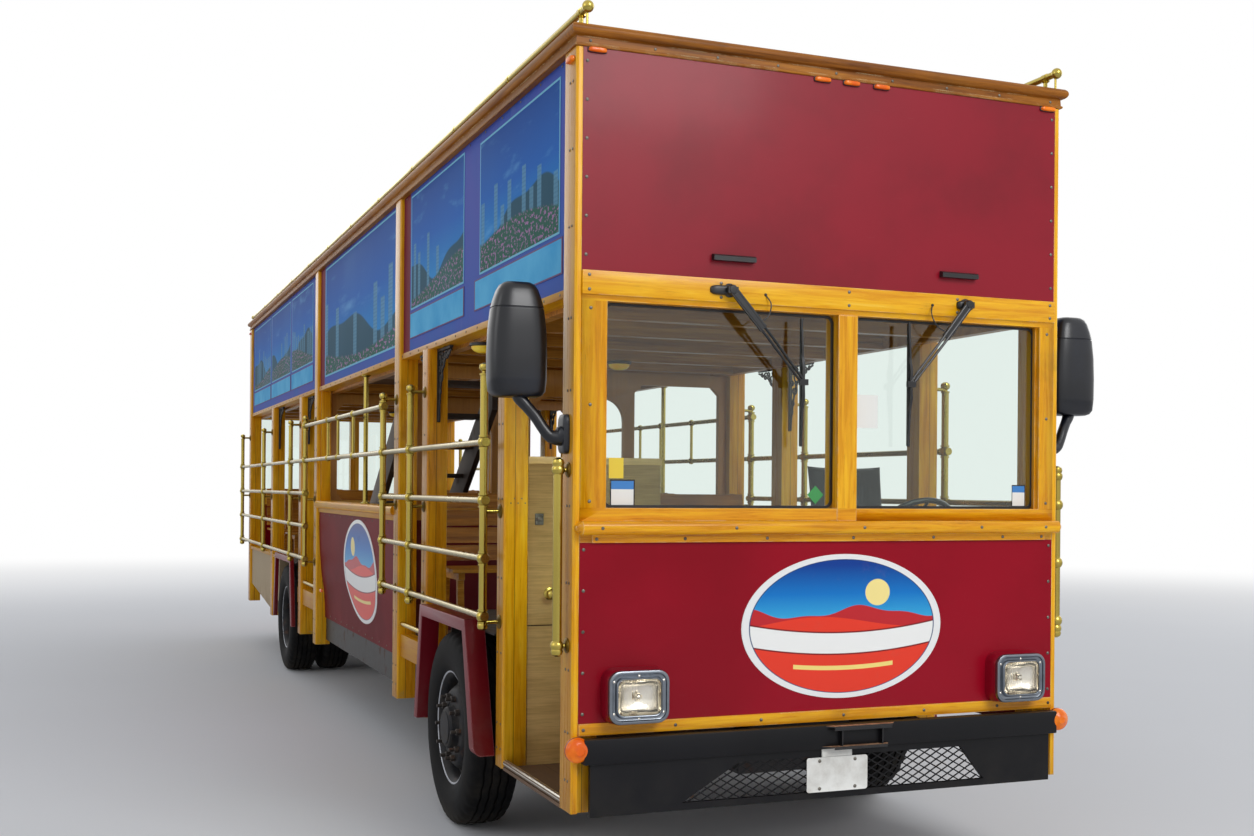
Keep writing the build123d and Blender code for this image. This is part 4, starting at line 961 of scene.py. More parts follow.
poles, bars, bases = [], [], []
x = rails["x"]
for run in rails["runs"]:
    poles.append(poleWithFinials(x, run, rails["foot"], rails["head"], rails["poleRadius"]))
    poles += [standoff(x, run, z) for z in rails["standoffs"]]
    bases += [railBase(run, z, 0.034) for z in rails["standoffs"]]
for z, bays in rails["bars"].items():
    touched = set()
    for bay in bays:
        start, end = rails["runs"][bay], rails["runs"][bay + 1]
        bars.append(rod(at(x, start + 0.018, z), at(x, end - 0.018, z), rails["barRadius"]))
        touched |= {start, end}
    for run in sorted(touched):
        poles += crossing(x, run, z, rails["ballRadius"])
for run in rails["balusters"]:
    foot, head = (at(x, run, z) for z in rails["balusterSpan"])
    poles += [rod(foot, head, 0.011, 12), ball(foot, 0.025), ball(head, 0.025)]
frontX, frontRun = frontPole["x"], frontPole["run"]
poles.append(poleWithFinials(frontX, frontRun, frontPole["foot"], frontPole["head"], rails["poleRadius"]))
for z in frontPole["standoffs"]:
    poles += [standoff(frontX, frontRun, z), ball(at(frontX, frontRun, z), 0.028)]
    bases.append(railBase(frontRun, z, 0.032))
for low, high in rails["lowBars"]:
    ends = (at(rails["lowBarX"], run, rails["lowBarZ"]) for run in (low, high))
    poles.append(rod(*ends, rails["barRadius"]))
sillX, sillRun, disc = sillPole["x"], sillPole["run"], sillPole["disc"]
poles.append(rod(at(sillX, sillRun, sillPole["foot"]), at(sillX, sillRun, sillPole["head"]),
                 sillPole["radius"]))
for z, tall in ((sillPole["foot"] + 0.0005, sillPole["thick"]),
                (sillPole["head"] - 0.0005, -sillPole["thick"])):
    profile = [(0, 0), (disc, 0), (disc, tall * 0.3), (disc - 0.014, tall), (0, tall)]
    poles.append(lathe(profile, at(sillX, sillRun, z), (0, 0, 1), 20))
streetBars = [rod(at(frontX, frontRun, z), at(x, rails["runs"][0], z), rails["barRadius"])
              for z in frontPole["bars"]]
streetBalls = [ball(at(frontX, frontRun, z), rails["ballRadius"]) for z in frontPole["bars"]]
for name, shapes, finishKey in (("brassPoles", [bothSides(join(poles))] + streetBalls, "brass"),
                                ("brassBars", [bothSides(join(bars))] + streetBars, "barBrass")):
    place(name, join(shapes), finishes[finishKey], replaces=("side_rails",))
place("railBases", bothSides(join(bases)), finishes["dullBrass"])
print("side rails made")

# deck handrails: a brass tube on ball stanchions, and the guard round the stairwell
handrail = {"x": 1.180, "z": 3.755, "radius": 0.016, "ends": (-0.020, 11.500), "count": 12, "inset": 0.060,
            "foot": 3.690}
stairGuard = {"x": -0.410, "end": -1.100, "runs": (3.720, 4.390, 5.060, 5.730), "rails": (3.165, 3.620),
              "foot": 2.690, "head": 3.650}
x, z, foot = handrail["x"], handrail["z"], handrail["foot"]
stanchion = [(0, 0), (0.030, 0), (0.030, 0.004), (0.014, 0.012), (0.010, 0.022), (0.010, 0.040), (0.020, 0.048),
             (0, 0.049)]
parts = [rod(*(at(x, run, z) for run in handrail["ends"]), handrail["radius"], 20)]
for run in np.linspace(handrail["inset"], bodyLength - handrail["inset"], handrail["count"]):
    parts.append(lathe(stanchion, at(x, run, foot), (0, 0, 1), 16))
    parts.append(rod(at(x, run - 0.016, z), at(x, run + 0.016, z), 0.0185, 20))
for run, way in zip(handrail["ends"], (-1, 1)):
    parts.append(rod(at(x, run - way * 0.006, foot - 0.006), at(x, run - way * 0.006, z - 0.015), 0.0055, 12))
    parts.append(ball(at(x, run + way * 0.002, z), 0.0255))
guardBase = [(0, 0), (0.042, 0), (0.042, 0.006), (0.022, 0.014), (0, 0.014)]
x, foot, head = stairGuard["x"], stairGuard["foot"], stairGuard["head"]
fences = []
for run in stairGuard["runs"]:
    fences += [rod(at(x, run, foot), at(x, run, head), 0.020, 16), ball(at(x, run, head + 0.005), 0.027)]
    fences.append(lathe(guardBase, at(x, run, foot), (0, 0, 1), 16))
near, far = stairGuard["runs"][0], stairGuard["runs"][-1]
for z in stairGuard["rails"]:
    fences += [rod(at(x, near, z), at(x, far, z), 0.016),
               rod(at(x, far, z), at(stairGuard["end"], far, z), 0.016)]
guard = bothSides(join(parts))
place("deckHandrails", join([guard] + fences), finishes["brass"], replaces=("deck_handrails",))
print("deck handrails made")

# entrance: a bright tube along the step's edge, the half-bulkhead's rail with a ball end, its latch
stepTube = {"x": -1.199, "z": 0.4563, "radius": 0.0166, "runs": (0.1505, 0.9895)}
tube = rod(*(at(stepTube["x"], run, stepTube["z"]) for run in stepTube["runs"]), stepTube["radius"], 20)
place("stepTube", tube, finishes["tube"])
foot, head, wall = at(-0.985, 0.962, 1.262), at(-0.700, 0.955, 1.420), 0.9995
railPath = smoothPath([at(-0.985, 0.974, 1.262), at(-0.960, 0.960, 1.270), head], 6)
socket = [(0.030, 0), (0.030, 0.004), (0.014, 0.010), (0.012, 0.020), (0, 0.020)]
innerRail = [swept(railPath, circle(0.014, 14), (0, 1, 0)), ball(foot, 0.027),
             lathe(socket, at(-0.985, wall, 1.262), (0, -1, 0), 20),
             rod(at(-0.700, wall - 0.0005, 1.420), head, 0.012, 12), ball(head, 0.020)]
place("entranceRail", join(innerRail), finishes["brass"])
latch = [box(at(-1.062, wall - 0.007, 1.595), at(-1.020, wall, 1.650)),
         box(at(-1.052, wall - 0.0155, 1.615), at(-1.034, wall - 0.007, 1.632))]
place("entranceLatch", join(latch), finishes["screw"], bevel=0.0015)

# top moulding: a round bead on a flat strip with a small bead under it, in a ring round the open deck
moulding = {"foot": 3.5972, "deck": 3.690, "inner": 1.100, "endInset": 0.095}


def halfRound(x, z, wide, tall, count):
    # (x + wide cos t, z + tall sin t) for t from -90 to 90 degrees
    t = np.linspace(-pi / 2, pi / 2, count)
    return list(zip((x + wide * np.cos(t)).tolist(), (z + tall * np.sin(t)).tolist()))


outline = ([(0.0, moulding["foot"])] + halfRound(0.003, 3.6035, 0.0055, 0.0065, 9)
           + [(0.0022, 3.6105), (0.0005, 3.6385)] + halfRound(0.002, 3.665, 0.026, 0.025, 15))
rows = []
for sx, end in ((-1, -1), (1, -1), (1, 1), (-1, 1)):
    endRun = 0 if end < 0 else bodyLength
    rows.append([at(sx * (postFace + out), endRun + end * out, z) for out, z in outline]
                + [at(sx * moulding["inner"], endRun - end * moulding["endInset"], z)
                   for z in (moulding["deck"], moulding["foot"])])
place("topMoulding", surface(np.array(rows), wrapRows=True, wrapColumns=True), finishes["trimWood"],
      replaces=("top_moulding",))
trimScrews = [at(x, -0.0022, 3.6225) for x in np.linspace(-1.16, 1.16, 9)]
place("trimScrews", screwHeads(trimScrews, (0, -1, 0), 0.0065), finishes["screw"])

for pieceName, nodeName, finishKey, slotName, width in (
        ("framePosts", "posts", "postWood", "post_wood", 0.0035),
        ("endFrames", "end_woodwork", "endWood", "frame_wood", 0.003),
        ("sideFrames", "side_woodwork", "sideWood", "frame_wood", 0.003),
        ("wheelFenders", "fenders", "maroonFender", "maroon_paint", 0.005),
        ("bumperBars", "bumpers", "black", "black_paint", 0.005),
        ("cabinBulkheads", "bulkheads", "bulkhead", "plywood", 0.003),
        ("stairTreads", "staircase", "stair", "stair_dark", 0.003)):
    softened(pieceName, nodeName, finishes[finishKey], width)
print("moulding and softened timber made")


# benches: slats on end frames, seat and back, the back leaning
bench = {"seat": 0.440, "slats": 5, "slatPitch": 0.0845, "backSlats": 4, "backPitch": 0.108, "backSlat": 0.096,
         "rise": 0.460, "lean": 0.060}


def slattedBench(width, frameSpots):
    seat, legTop = bench["seat"], 0.375
    under, edge = seat - 0.022, seat - 0.002
    parts = []
    for low in 0.004 + np.arange(bench["slats"]) * bench["slatPitch"]:
        slat = ((0, under), (0, edge), (0.004, seat), (0.072, seat), (0.076, edge), (0.076, under))
        parts.append(prism([(low + run, z) for run, z in slat], 0, width))
    for start in 0.030 + np.arange(bench["backSlats"]) * bench["backPitch"]:
        end = start + bench["backSlat"]
        corners = [(0.424 + bench["lean"] * up / bench["rise"] + shift, seat + up)
                   for up, shift in ((start, 0.0), (start, 0.022), (end, 0.022), (end, 0.0))]
        parts.append(prism(corners, 0, width))
    for low in frameSpots:
        for outline in ([(0.020, 0), (0.055, 0), (0.085, legTop), (0.050, legTop)],
                        [(0.425, 0), (0.460, 0), (0.410, legTop), (0.375, legTop)],
                        [(0.030, legTop), (0.030, under), (0.440, under), (0.452, legTop)]):
            parts.append(prism(outline, low, low + 0.040))
        brace = [(0.446, legTop), (0.506, 0.895), (0.530, 0.895), (0.476, legTop)]
        parts.append(prism(brace, low + 0.006, low + 0.034))
    return join(parts)


wallSeat = 1.0997
benchTable = (
    ("upperBenches", "upper_seats", slattedBench(0.800, (0.040, 0.740)), wallSeat - 0.800, 2.690,
     (0.700, 1.450, 2.200, 2.950, 6.000, 6.750, 7.500, 8.250, 9.000, 9.750, 10.500), (3.700, 4.450, 5.200)),
    ("lowerBenchRows", "lower_benches", slattedBench(0.610, (0.040, 0.530)), 0.450, 0.850,
     (2.560, 7.020, 9.150, 9.900, 10.650), (3.700, 4.450, 5.200, 5.950)),
)
for pieceName, nodeName, shape, inner, deck, pairs, streetOnly in benchTable:
    both = bothSides(repeated(shape, [(inner, run, deck) for run in pairs]))
    single = repeated(shape, [(inner, run, deck) for run in streetOnly])
    place(pieceName, join([both, single]), finishes["seatWood"], replaces=(nodeName,), bevel=0.002)

# driver's place: a stuffed seat and back on a pedestal, a dash with dials, an engine cover, a steering wheel
driver = {"x": 0.750, "padSlots": (-0.42, 0.42), "wheelRun": 0.520, "wheelZ": 1.560, "wheelRadius": 0.221,
          "wheelLean": (0, 190, 160)}
for padName, sizes, lean, run, z in (("driverCushion", (0.230, 0.230, 0.056), 4, 0.865, 1.284),
                                     ("driverBackPad", (0.225, 0.300, 0.045), 82, 1.140, 1.605)):
    shape = cushion(*sizes, channels=driver["padSlots"])
    shape = turned(shape, Matrix.Rotation(radians(lean), 3, "X"), at(driver["x"], run, z))
    pad = place(padName, shape, finishes["fabric"], replaces=("driver_seat",), smooth=80)
pedestal = [box(at(0.610, 0.710, 0.850), at(0.890, 1.030, 0.880)),
            box(at(0.660, 0.760, 0.880), at(0.840, 0.980, 1.190)),
            box(at(0.540, 0.660, 1.190), at(0.960, 1.080, 1.238)),
            prism([(1.120, 1.200), (1.150, 1.200), (1.215, 1.860), (1.185, 1.860)], 0.560, 0.940)]
place("driverPedestal", join(pedestal), finishes["blackPlastic"], replaces=("driver_seat",),
      bevel=0.006)
dash = {
    "engineCover": (((0.062, 0.850), (0.062, 1.150), (0.420, 1.230), (1.440, 1.100), (1.440, 0.850)), -0.400,
                    0.400),
    "driverSide": (((0.112, 0.850), (0.112, 1.560), (0.330, 1.520), (0.400, 1.380), (0.300, 0.850)), 0.420,
                   1.090),
    "middle": (((0.112, 1.155), (0.112, 1.560), (0.300, 1.520), (0.380, 1.400), (0.380, 1.215)), -0.390, 0.399),
}
place("dashBoards", join([prism(*values) for values in dash.values()]), finishes["blackPlastic"],
      replaces=("dashboard",), bevel=0.010)
tilt = np.array(Vector(driver["wheelLean"]).normalized())
middle = np.array(at(driver["x"], driver["wheelRun"], driver["wheelZ"]))
across = np.array((1.0, 0, 0))
rise = np.cross(tilt, across)


def spoke(angle, reach):
    # middle + reach (cos(angle) across + sin(angle) rise)
    return middle + reach * (np.cos(angle) * across + np.sin(angle) * rise)


ringPath = spoke(np.linspace(0, 2 * pi, 64, endpoint=False)[:, None], driver["wheelRadius"])
boss = [(0, 0.024), (0.030, 0.022), (0.056, 0.012), (0.060, 0.0), (0.050, -0.012), (0, -0.016)]
steering = [swept(ringPath, circle(0.0145, 12), tilt, closed=True),
            rod(at(driver["x"], 0.330, 1.400), middle, 0.024, 20), lathe(boss, middle, tilt, 32)]
for angle in (0, pi, 1.5 * pi):
    steering.append(rod(spoke(angle, 0.045), spoke(angle, driver["wheelRadius"] - 0.009), 0.009, 12))
place("steeringWheel", join(steering), finishes["blackPlastic"], replaces=("dashboard",),
      smooth=50)
dial = [(0.044, 0), (0.044, 0.008), (0.038, 0.010), (0.036, 0.004), (0, 0.004)]
dials = [lathe(dial, at(x, 0.365, 1.450), (0, 2, 1), 28) for x in (0.620, 0.740, 0.860)]
place("dashDials", join(dials), finishes["darkChrome"])
print("seats and driver's place made")


# scroll brackets: a foot and a head, a bowed brace, and cast curls between them
def curl(start, radius, angle, turns, way=1):
    # p(t) = start + radius (1 - 0.82 t) (cos, sin)(angle + way 2 pi turns t)
    t = np.linspace(0, 1, 22)
    reach = radius * (1 - 0.82 * t)
    bend = angle + way * 2 * pi * turns * t
    return np.stack([start[0] + reach * np.cos(bend), start[1] + reach * np.sin(bend)], -1)


bracket = {
    "x": 1.156, "halfWide": 0.010, "top": 2.5755, "reach": 0.300, "thick": 0.014, "leg": 2.156,
    "edges": ((2.560, -1), (2.700, 1), (7.415, -1), (7.565, 1), (9.355, -1), (9.505, 1)),
    "brace": ((0.298, -0.022), (0.190, -0.052), (0.104, -0.110), (0.055, -0.210), (0.026, -0.330),
              (0.012, -0.418)),
    "curls": (((0.250, -0.030), 0.018, 3.4, 1.0), ((0.098, -0.030), 0.020, 1.0, 1.1),
              ((0.030, -0.120), 0.022, 2.6, 1.1, -1),
              ((0.032, -0.310), 0.016, 0.6, 1.0), ((0.140, -0.076), 0.020, 4.0, 1.1, -1),
              ((0.078, -0.120), 0.018, 5.0, 1.0),
              ((0.105, -0.075), 0.052, 2.4, 1.3), ((0.062, -0.165), 0.036, 1.2, 1.2, -1),
              ((0.200, -0.048), 0.030, 2.9, 1.2, -1),
              ((0.045, -0.245), 0.022, 2.0, 1.1), ((0.040, -0.045), 0.026, 0.4, 1.2),
              ((0.158, -0.042), 0.022, 0.2, 1.1)),
}
curls = [(smoothPath(bracket["brace"], 5), 1.0)] + [(curl(*values), 0.9) for values in bracket["curls"]]
top, thick, leg = bracket["top"], bracket["thick"], bracket["leg"]
low, high = bracket["x"] - bracket["halfWide"], bracket["x"] + bracket["halfWide"]
ironwork = []
for edge, way in bracket["edges"]:
    end = edge + way * bracket["reach"]
    for line, size in curls:
        hung = np.stack([np.full(len(line), bracket["x"]), frontFace + edge + way * line[:, 0],
                         top + line[:, 1]], -1)
        ironwork.append(swept(hung, roundedRectangle(0.012 * size, 0.011 * size, 0.003, 2), (1, 0, 0)))
    inner = (edge + way * thick, top - thick)
    ironwork.append(prism([(edge, top), (end, top), (end - way * 0.006, top - thick), inner], low, high))
    ironwork.append(prism([(edge, top), inner, (edge + way * 0.012, leg + 0.004), (edge, leg - 0.004)],
                          low, high))
place("scrollIronwork", bothSides(join(ironwork)), finishes["iron"], replaces=("scroll_brackets",),
      smooth=40)

# dome lamps under the deck, their lenses glowing faintly
dome = {"z": 2.5598, "spots": ((-1.060, 1.950), (0.0, 2.630), (0.0, 7.000), (0.0, 9.100)),
        "base": ((0, 0), (0.075, 0), (0.075, 0.014), (0.066, 0.018), (0, 0.018)),
        "glass": ((0.066, 0.016), (0.064, 0.030), (0.050, 0.044), (0.028, 0.052), (0, 0.054))}
for name, key, finishKey, slotName in (("domeLamps", "glass", "dome", "orange_plastic"),
                                       ("domeBases", "base", "blackPlastic", "black_plastic")):
    shapes = [lathe(dome[key], at(x, run, dome["z"]), (0, 0, -1), 32) for x, run in dome["spots"]]
    place(name, join(shapes), finishes[finishKey], smooth=50)
print("ironwork and dome lamps made")

# lamps: orange markers along the top, round turn lamps at the bumper's ends, round tail lamps
markers = {"x": (-1.130, -0.070, 0.077, 0.232, 1.144), "z": 3.5865, "wide": 0.0425, "tall": 0.0115,
           "proud": 0.020}
cornerMarkers = {"inset": 0.060, "z": 3.5525, "wide": 0.037, "tall": 0.012, "proud": 0.019}
sideMarker = {"x": 1.207, "run": 6.300, "z": 0.905, "wide": 0.042, "tall": 0.014, "proud": 0.018}
turnLamp = {
    "x": 1.205, "run": -0.030, "z": 0.700,
    "front": ((0.050, -0.002), (0.0525, 0.004), (0.0525, 0.010), (0.047, 0.022), (0.034, 0.032),
              (0.018, 0.0375), (0.017, 0.0395), (0, 0.040)),
    "back": ((0.050, 0.002), (0.0525, 0.008), (0.045, 0.014), (0.030, 0.018), (0, 0.019)),
    "band": ((0.0, -0.004), (0.0528, -0.004), (0.0528, 0.002), (0.050, 0.002), (0, 0.002)),
}
tailLamp = {
    "x": 1.040, "heights": (1.380, 1.230, 1.080),
    "rim": ((0.055, 0), (0.055, 0.010), (0.050, 0.014), (0.047, 0.014)),
    "lens": ((0.047, 0.010), (0.047, 0.018), (0.040, 0.024), (0.022, 0.027), (0, 0.0278)),
}
amber, red, lampBits = [], [], []
wide, tall, proud, z = (markers[key] for key in ("wide", "tall", "proud", "z"))
for x in markers["x"]:
    for run, way, lenses in ((0, -1, amber), (bodyLength, 1, red)):
        lenses.append(blister(at(x, run + way * 0.004, z), (wide - 0.003, 0, 0), (0, 0, tall - 0.002),
                              (0, way * (proud - 0.004), 0), 0.45))
        lampBits.append(blister(at(x, run, z), (wide, 0, 0), (0, 0, tall), (0, way * 0.007, 0), 0.3))


def sideBlister(side, x, run, lamp, squareness):
    return blister(at(side * x, run, lamp["z"]), (0, lamp["wide"], 0), (0, 0, lamp["tall"]),
                   (side * lamp["proud"], 0, 0), squareness)


for side in (-1, 1):
    inset = cornerMarkers["inset"]
    for run, lenses in ((inset, amber), (bodyLength - inset, red)):
        lenses.append(sideBlister(side, postFace, run, cornerMarkers, 0.45))
    amber.append(sideBlister(side, sideMarker["x"], sideMarker["run"], sideMarker, 0.5))
    x, run, z = side * turnLamp["x"], turnLamp["run"], turnLamp["z"]
    amber.append(lathe(turnLamp["front"], at(x, run, z), (0, -1, 0), 40))
    amber.append(lathe(turnLamp["back"], at(x, run + 0.002, z), (0, 1, 0), 40))
    lampBits.append(lathe(turnLamp["band"], at(x, run, z), (0, -1, 0), 40))
    lampBits.append(rod(at(x - side * 0.024, run, z), at(x - side * 0.040, run, z), 0.012, 14))
    for z, lenses in zip(tailLamp["heights"], (red, amber, red)):
        spot = at(side * tailLamp["x"], bodyLength, z)
        lampBits.append(lathe(tailLamp["rim"], spot, (0, 1, 0), 40))
        lenses.append(lathe(tailLamp["lens"], spot, (0, 1, 0), 40))
for name, shapes, finishKey, slotName in (("amberLenses", amber, "amber", "orange_plastic"),
                                          ("redLenses", red, "red", "orange_plastic"),
                                          ("lampBases", lampBits, "blackPlastic", "black_plastic")):
    place(name, join(shapes), finishes[finishKey], replaces=("lamps",), smooth=50)

# headlamps: a maroon housing, a dark chrome bezel with a screwed channel, a bowl and a fluted lens
headlamp = {
    "centres": ((-0.950, 0.912), (0.960, 0.912)),
    "housing": ((0.0, 0.284, 0.234, 0.052), (0.030, 0.278, 0.228, 0.050), (0.058, 0.272, 0.222, 0.048),
                (0.068, 0.262, 0.212, 0.046)),
    "bezel": ((0.064, 0.262, 0.214, 0.048), (0.068, 0.270, 0.222, 0.050), (0.076, 0.271, 0.223, 0.050),
              (0.0835, 0.266, 0.218, 0.048),
              (0.0865, 0.254, 0.206, 0.044), (0.0855, 0.243, 0.196, 0.040), (0.079, 0.238, 0.191, 0.038),
              (0.077, 0.230, 0.184, 0.036),
              (0.077, 0.214, 0.170, 0.034), (0.083, 0.208, 0.165, 0.034), (0.0875, 0.204, 0.161, 0.032),
              (0.0895, 0.198, 0.156, 0.030),
              (0.0885, 0.193, 0.151, 0.028), (0.080, 0.190, 0.148, 0.026)),
    "bowl": ((0.076, 0.190, 0.148, 0.026), (0.060, 0.180, 0.140, 0.032), (0.046, 0.150, 0.118, 0.040),
             (0.038, 0.100, 0.084, 0.036), (0.035, 0.030, 0.026, 0.012)),
    "lens": ((0.078, 0.192, 0.150, 0.027), (0.0835, 0.190, 0.148, 0.026), (0.086, 0.180, 0.138, 0.024),
             (0.0875, 0.150, 0.112, 0.020), (0.0885, 0.090, 0.064, 0.012),
             (0.0888, 0.006, 0.004, 0.001)),
}
for key, finishKey, slotName, nodeName in (("housing", "maroon", "red_plastic", "headlamps"),
                                           ("bezel", "darkChrome", "red_plastic", "headlamps"),
                                           ("bowl", "reflector", "red_plastic", "headlamps"),
                                           ("lens", "lampGlass", "clear_glass", "glazing")):
    sections = [(-proud, *sizes) for proud, *sizes in headlamp[key]]
    shapes = [layered(x, z, sections) for x, z in headlamp["centres"]]
    place("headlamp" + key.capitalize(), join(shapes), finishes[finishKey], replaces=(nodeName,),
          smooth=40)
screwSpots = [at(x + sx * 0.111, -0.076, z + sz * 0.088) for x, z in headlamp["centres"]
              for sx, sz in ((-1, -0.75), (-1, 0.75), (1, -0.75), (1, 0.75), (0, 1), (0, -1))]
bulbs = [ball(at(x, -0.052, z), 0.016) for x, z in headlamp["centres"]]
place("headlampScrews", join([screwHeads(screwSpots, (0, -1, 0), 0.005)] + bulbs), finishes["reflector"])

# glass: the panes themselves, front and rear
glass = {"foot": 1.693, "head": 2.552, "inset": 0.044, "thick": 0.006,
         "front": ((-1.076, 0.020), (0.118, 1.100)), "rear": ((-1.100, -0.050), (0.050, 1.100))}
gasket = {"spans": ((-1.076, 0.020), (0.118, 1.108)), "run": 0.041, "half": 0.006, "z": 2.1225, "tall": 0.859}
foot, head = glass["foot"], glass["head"]
near, far = glass["inset"], glass["inset"] + glass["thick"]
panes = [box(at(low, near, foot), at(high, far, head)) for low, high in glass["front"]]
panes += [box(at(low, bodyLength - far, foot), at(high, bodyLength - near, head))
          for low, high in glass["rear"]]
place("windowPanes", join(panes), finishes["glass"], replaces=("glazing",))
gaskets = []
for low, high in gasket["spans"]:
    outline = roundedRectangle(high - low - 2 * gasket["half"], gasket["tall"] - 2 * gasket["half"], 0.03, 6)
    path = facing(outline, (low + high) / 2, gasket["run"], gasket["z"])
    gaskets.append(swept(path, flatBar(gasket["half"], 0.004), (0, 1, 0), closed=True))
place("windowGaskets", join(gaskets), finishes["blackPlastic"])
print("lamps and glass made")


def panelX(z):
    # the tucked side panel's outline: two arcs, taken as parabolas through three (height, X) each
    middle, middleX = 1.010, 1.17025
    upper = np.polyfit((1.555, 1.280, middle), (panelFace, 1.191, middleX), 2)
    lower = np.polyfit((middle, 0.820, 0.661), (middleX, 1.146, 1.140), 2)
    return np.where(z > middle, np.polyval(upper, z), np.polyval(lower, z))


def ovalGrid(rings=20, segments=96):
    # (r cos t, r sin t) for r from 0 to 1, the last ring twice for the edge's wall
    r = np.append(np.linspace(0, 1, rings + 1), 1.0)[:, None]
    t = np.linspace(0, 2 * pi, segments, endpoint=False)[None, :]
    return r * np.cos(t), r * np.sin(t)


# oval signs: one on the front, one on each tucked side panel, where it follows the curve
frontSign = {"x": 0.061, "z": 1.171, "halfWide": 0.507, "halfTall": 0.320}
sideSign = {"run": 4.790, "z": 1.150, "halfWide": 0.625, "halfTall": 0.380}
u, v = ovalGrid()
lift = np.full(u.shape, 0.003)
lift[-1] = 0.0
front = surface(np.stack([frontSign["x"] + frontSign["halfWide"] * u, frontFace - lift,
                          frontSign["z"] + frontSign["halfTall"] * v], -1), wrapColumns=True)
height = sideSign["z"] + sideSign["halfTall"] * v
sideOval = surface(np.stack([panelX(height) + lift, frontFace + sideSign["run"] + sideSign["halfWide"] * u,
                             height], -1), wrapColumns=True)
ovalUv = np.stack([u.ravel(), v.ravel()], -1)
place("ovalSigns", join([front, bothSides(sideOval)]), finishes["badge"], uv=np.vstack([ovalUv] * 3))

# picture boards and their blank labels on the upper sides: (run low, run high, z low, z high)
boards = ((0.270, 1.545, 2.868, 3.545), (1.860, 3.120, 2.868, 3.570), (3.545, 6.300, 2.680, 3.575),
          (6.960, 8.230, 2.862, 3.560), (8.330, 9.690, 2.862, 3.560), (9.790, 11.200, 2.862, 3.560))
labels = ((0.225, 1.640, 2.690, 2.850), (1.850, 3.140, 2.690, 2.850), (6.930, 8.250, 2.690, 2.845),
          (8.310, 9.710, 2.690, 2.845), (9.770, 11.220, 2.690, 2.845))


unitSquare = np.array([(0, 0), (1, 0), (1, 1), (0, 1)], float)


def ownUv(first, last=None):
    # (u, v) of a square that shows u from first to last, a hair inside
    last = first + 1 if last is None else last
    return np.stack([first + 0.001 + (last - first - 0.002) * unitSquare[:, 0], unitSquare[:, 1]], -1)


def plateFaces(start):
    # the face of an 8-point plate and its four walls
    return [(start, start + 1, start + 2, start + 3)] + [
        (start + a, start + 4 + a, start + 4 + (a + 1) % 4, start + (a + 1) % 4) for a in range(4)]


def boardRow(table, proud):
    # thin plates, number k with u from k + 0.001 to k + 0.999 and v from 0 to 1 over its face
    points, uvs, quads = [], [], []
    for k, (low, high, under, top) in enumerate(table):
        run, z = low + (high - low) * unitSquare[:, 0], under + (top - under) * unitSquare[:, 1]
        points += [np.stack([np.full(4, panelFace + out), frontFace + run, z], -1) for out in (proud, 0.0)]
        uvs += [ownUv(k)] * 2
        quads += plateFaces(8 * k)
    return (np.vstack(points), np.array(quads), np.zeros((0, 3), int)), np.vstack(uvs)


for pieceName, table, proud, finishKey in (("pictureBoards", boards, 0.0020, "picture"),
                                           ("labelStrips", labels, 0.0032, "label")):
    shape, uvs = boardRow(table, proud)
    place(pieceName, bothSides(shape), finishes[finishKey], uv=np.vstack([uvs, uvs]), weld=False)
print("signs and boards made")

# blank stickers on the windscreen: (x, z, width, height), the order gives the colour
stickers = ((-1.014, 1.860, 0.066, 0.086), (-0.985, 1.752, 0.112, 0.120), (-0.063, 1.753, 0.058, 0.058),
            (1.030, 1.754, 0.076, 0.104), (0.200, 2.131, 0.110, 0.150))
stickerColours = (0, 1, 2, 1, 3)
turnedSticker, stickerRun = 2, 0.0436
points, uvs = [], []
for k, (x, z, wide, tall) in enumerate(stickers):
    turn = radians(45) if k == turnedSticker else 0.0
    outline = (unitSquare - 0.5) * (wide, tall) @ np.array([(cos(turn), sin(turn)), (-sin(turn), cos(turn))])
    points.append(facing(outline, x, stickerRun, z))
    uvs.append(ownUv(stickerColours[k]))
quads = np.arange(4 * len(stickers)).reshape(-1, 4)
place("windowStickers", (np.vstack(points), quads, np.zeros((0, 3), int)), finishes["sticker"],
      uv=np.vstack(uvs), weld=False)

# mirrors: moulded heads with a seam below the cap, bent arms thickening into a pad, glass facing back
mirror = {
    "x": 1.4150, "run": 0.1700, "glass": (0.200, 0.350, 0.06), "glassZ": 2.340,
    "sections": ((2.150, 0.060, 0.040), (2.1515, 0.086, 0.056), (2.158, 0.104, 0.070), (2.176, 0.118, 0.080),
                 (2.230, 0.1235, 0.0845),
                 (2.330, 0.1245, 0.085), (2.430, 0.1205, 0.0845), (2.512, 0.1110, 0.081),
                 (2.518, 0.1100, 0.0805), (2.520, 0.1060, 0.077),
                 (2.523, 0.1060, 0.077), (2.525, 0.1090, 0.080), (2.560, 0.0995, 0.075), (2.596, 0.0870, 0.067),
                 (2.618, 0.0740, 0.057),
                 (2.629, 0.0560, 0.043), (2.6315, 0.0300, 0.022)),
    "arm": ((1.238, 0.095, 1.990), (1.262, 0.095, 1.984), (1.292, 0.098, 1.992), (1.318, 0.106, 2.024),
            (1.346, 0.120, 2.070), (1.378, 0.138, 2.112),
            (1.404, 0.152, 2.146), (1.412, 0.160, 2.172)),
    "armSizes": (1.9, 1.35, 1.1, 1.0, 1.0, 1.0, 1.15, 1.3),
}


def squarish(count=48, squareness=0.62):
    # (cos(t)^s, sin(t)^s), the power s keeping the sign
    ring = circle(1.0, count)
    return np.sign(ring) * np.abs(ring) ** squareness


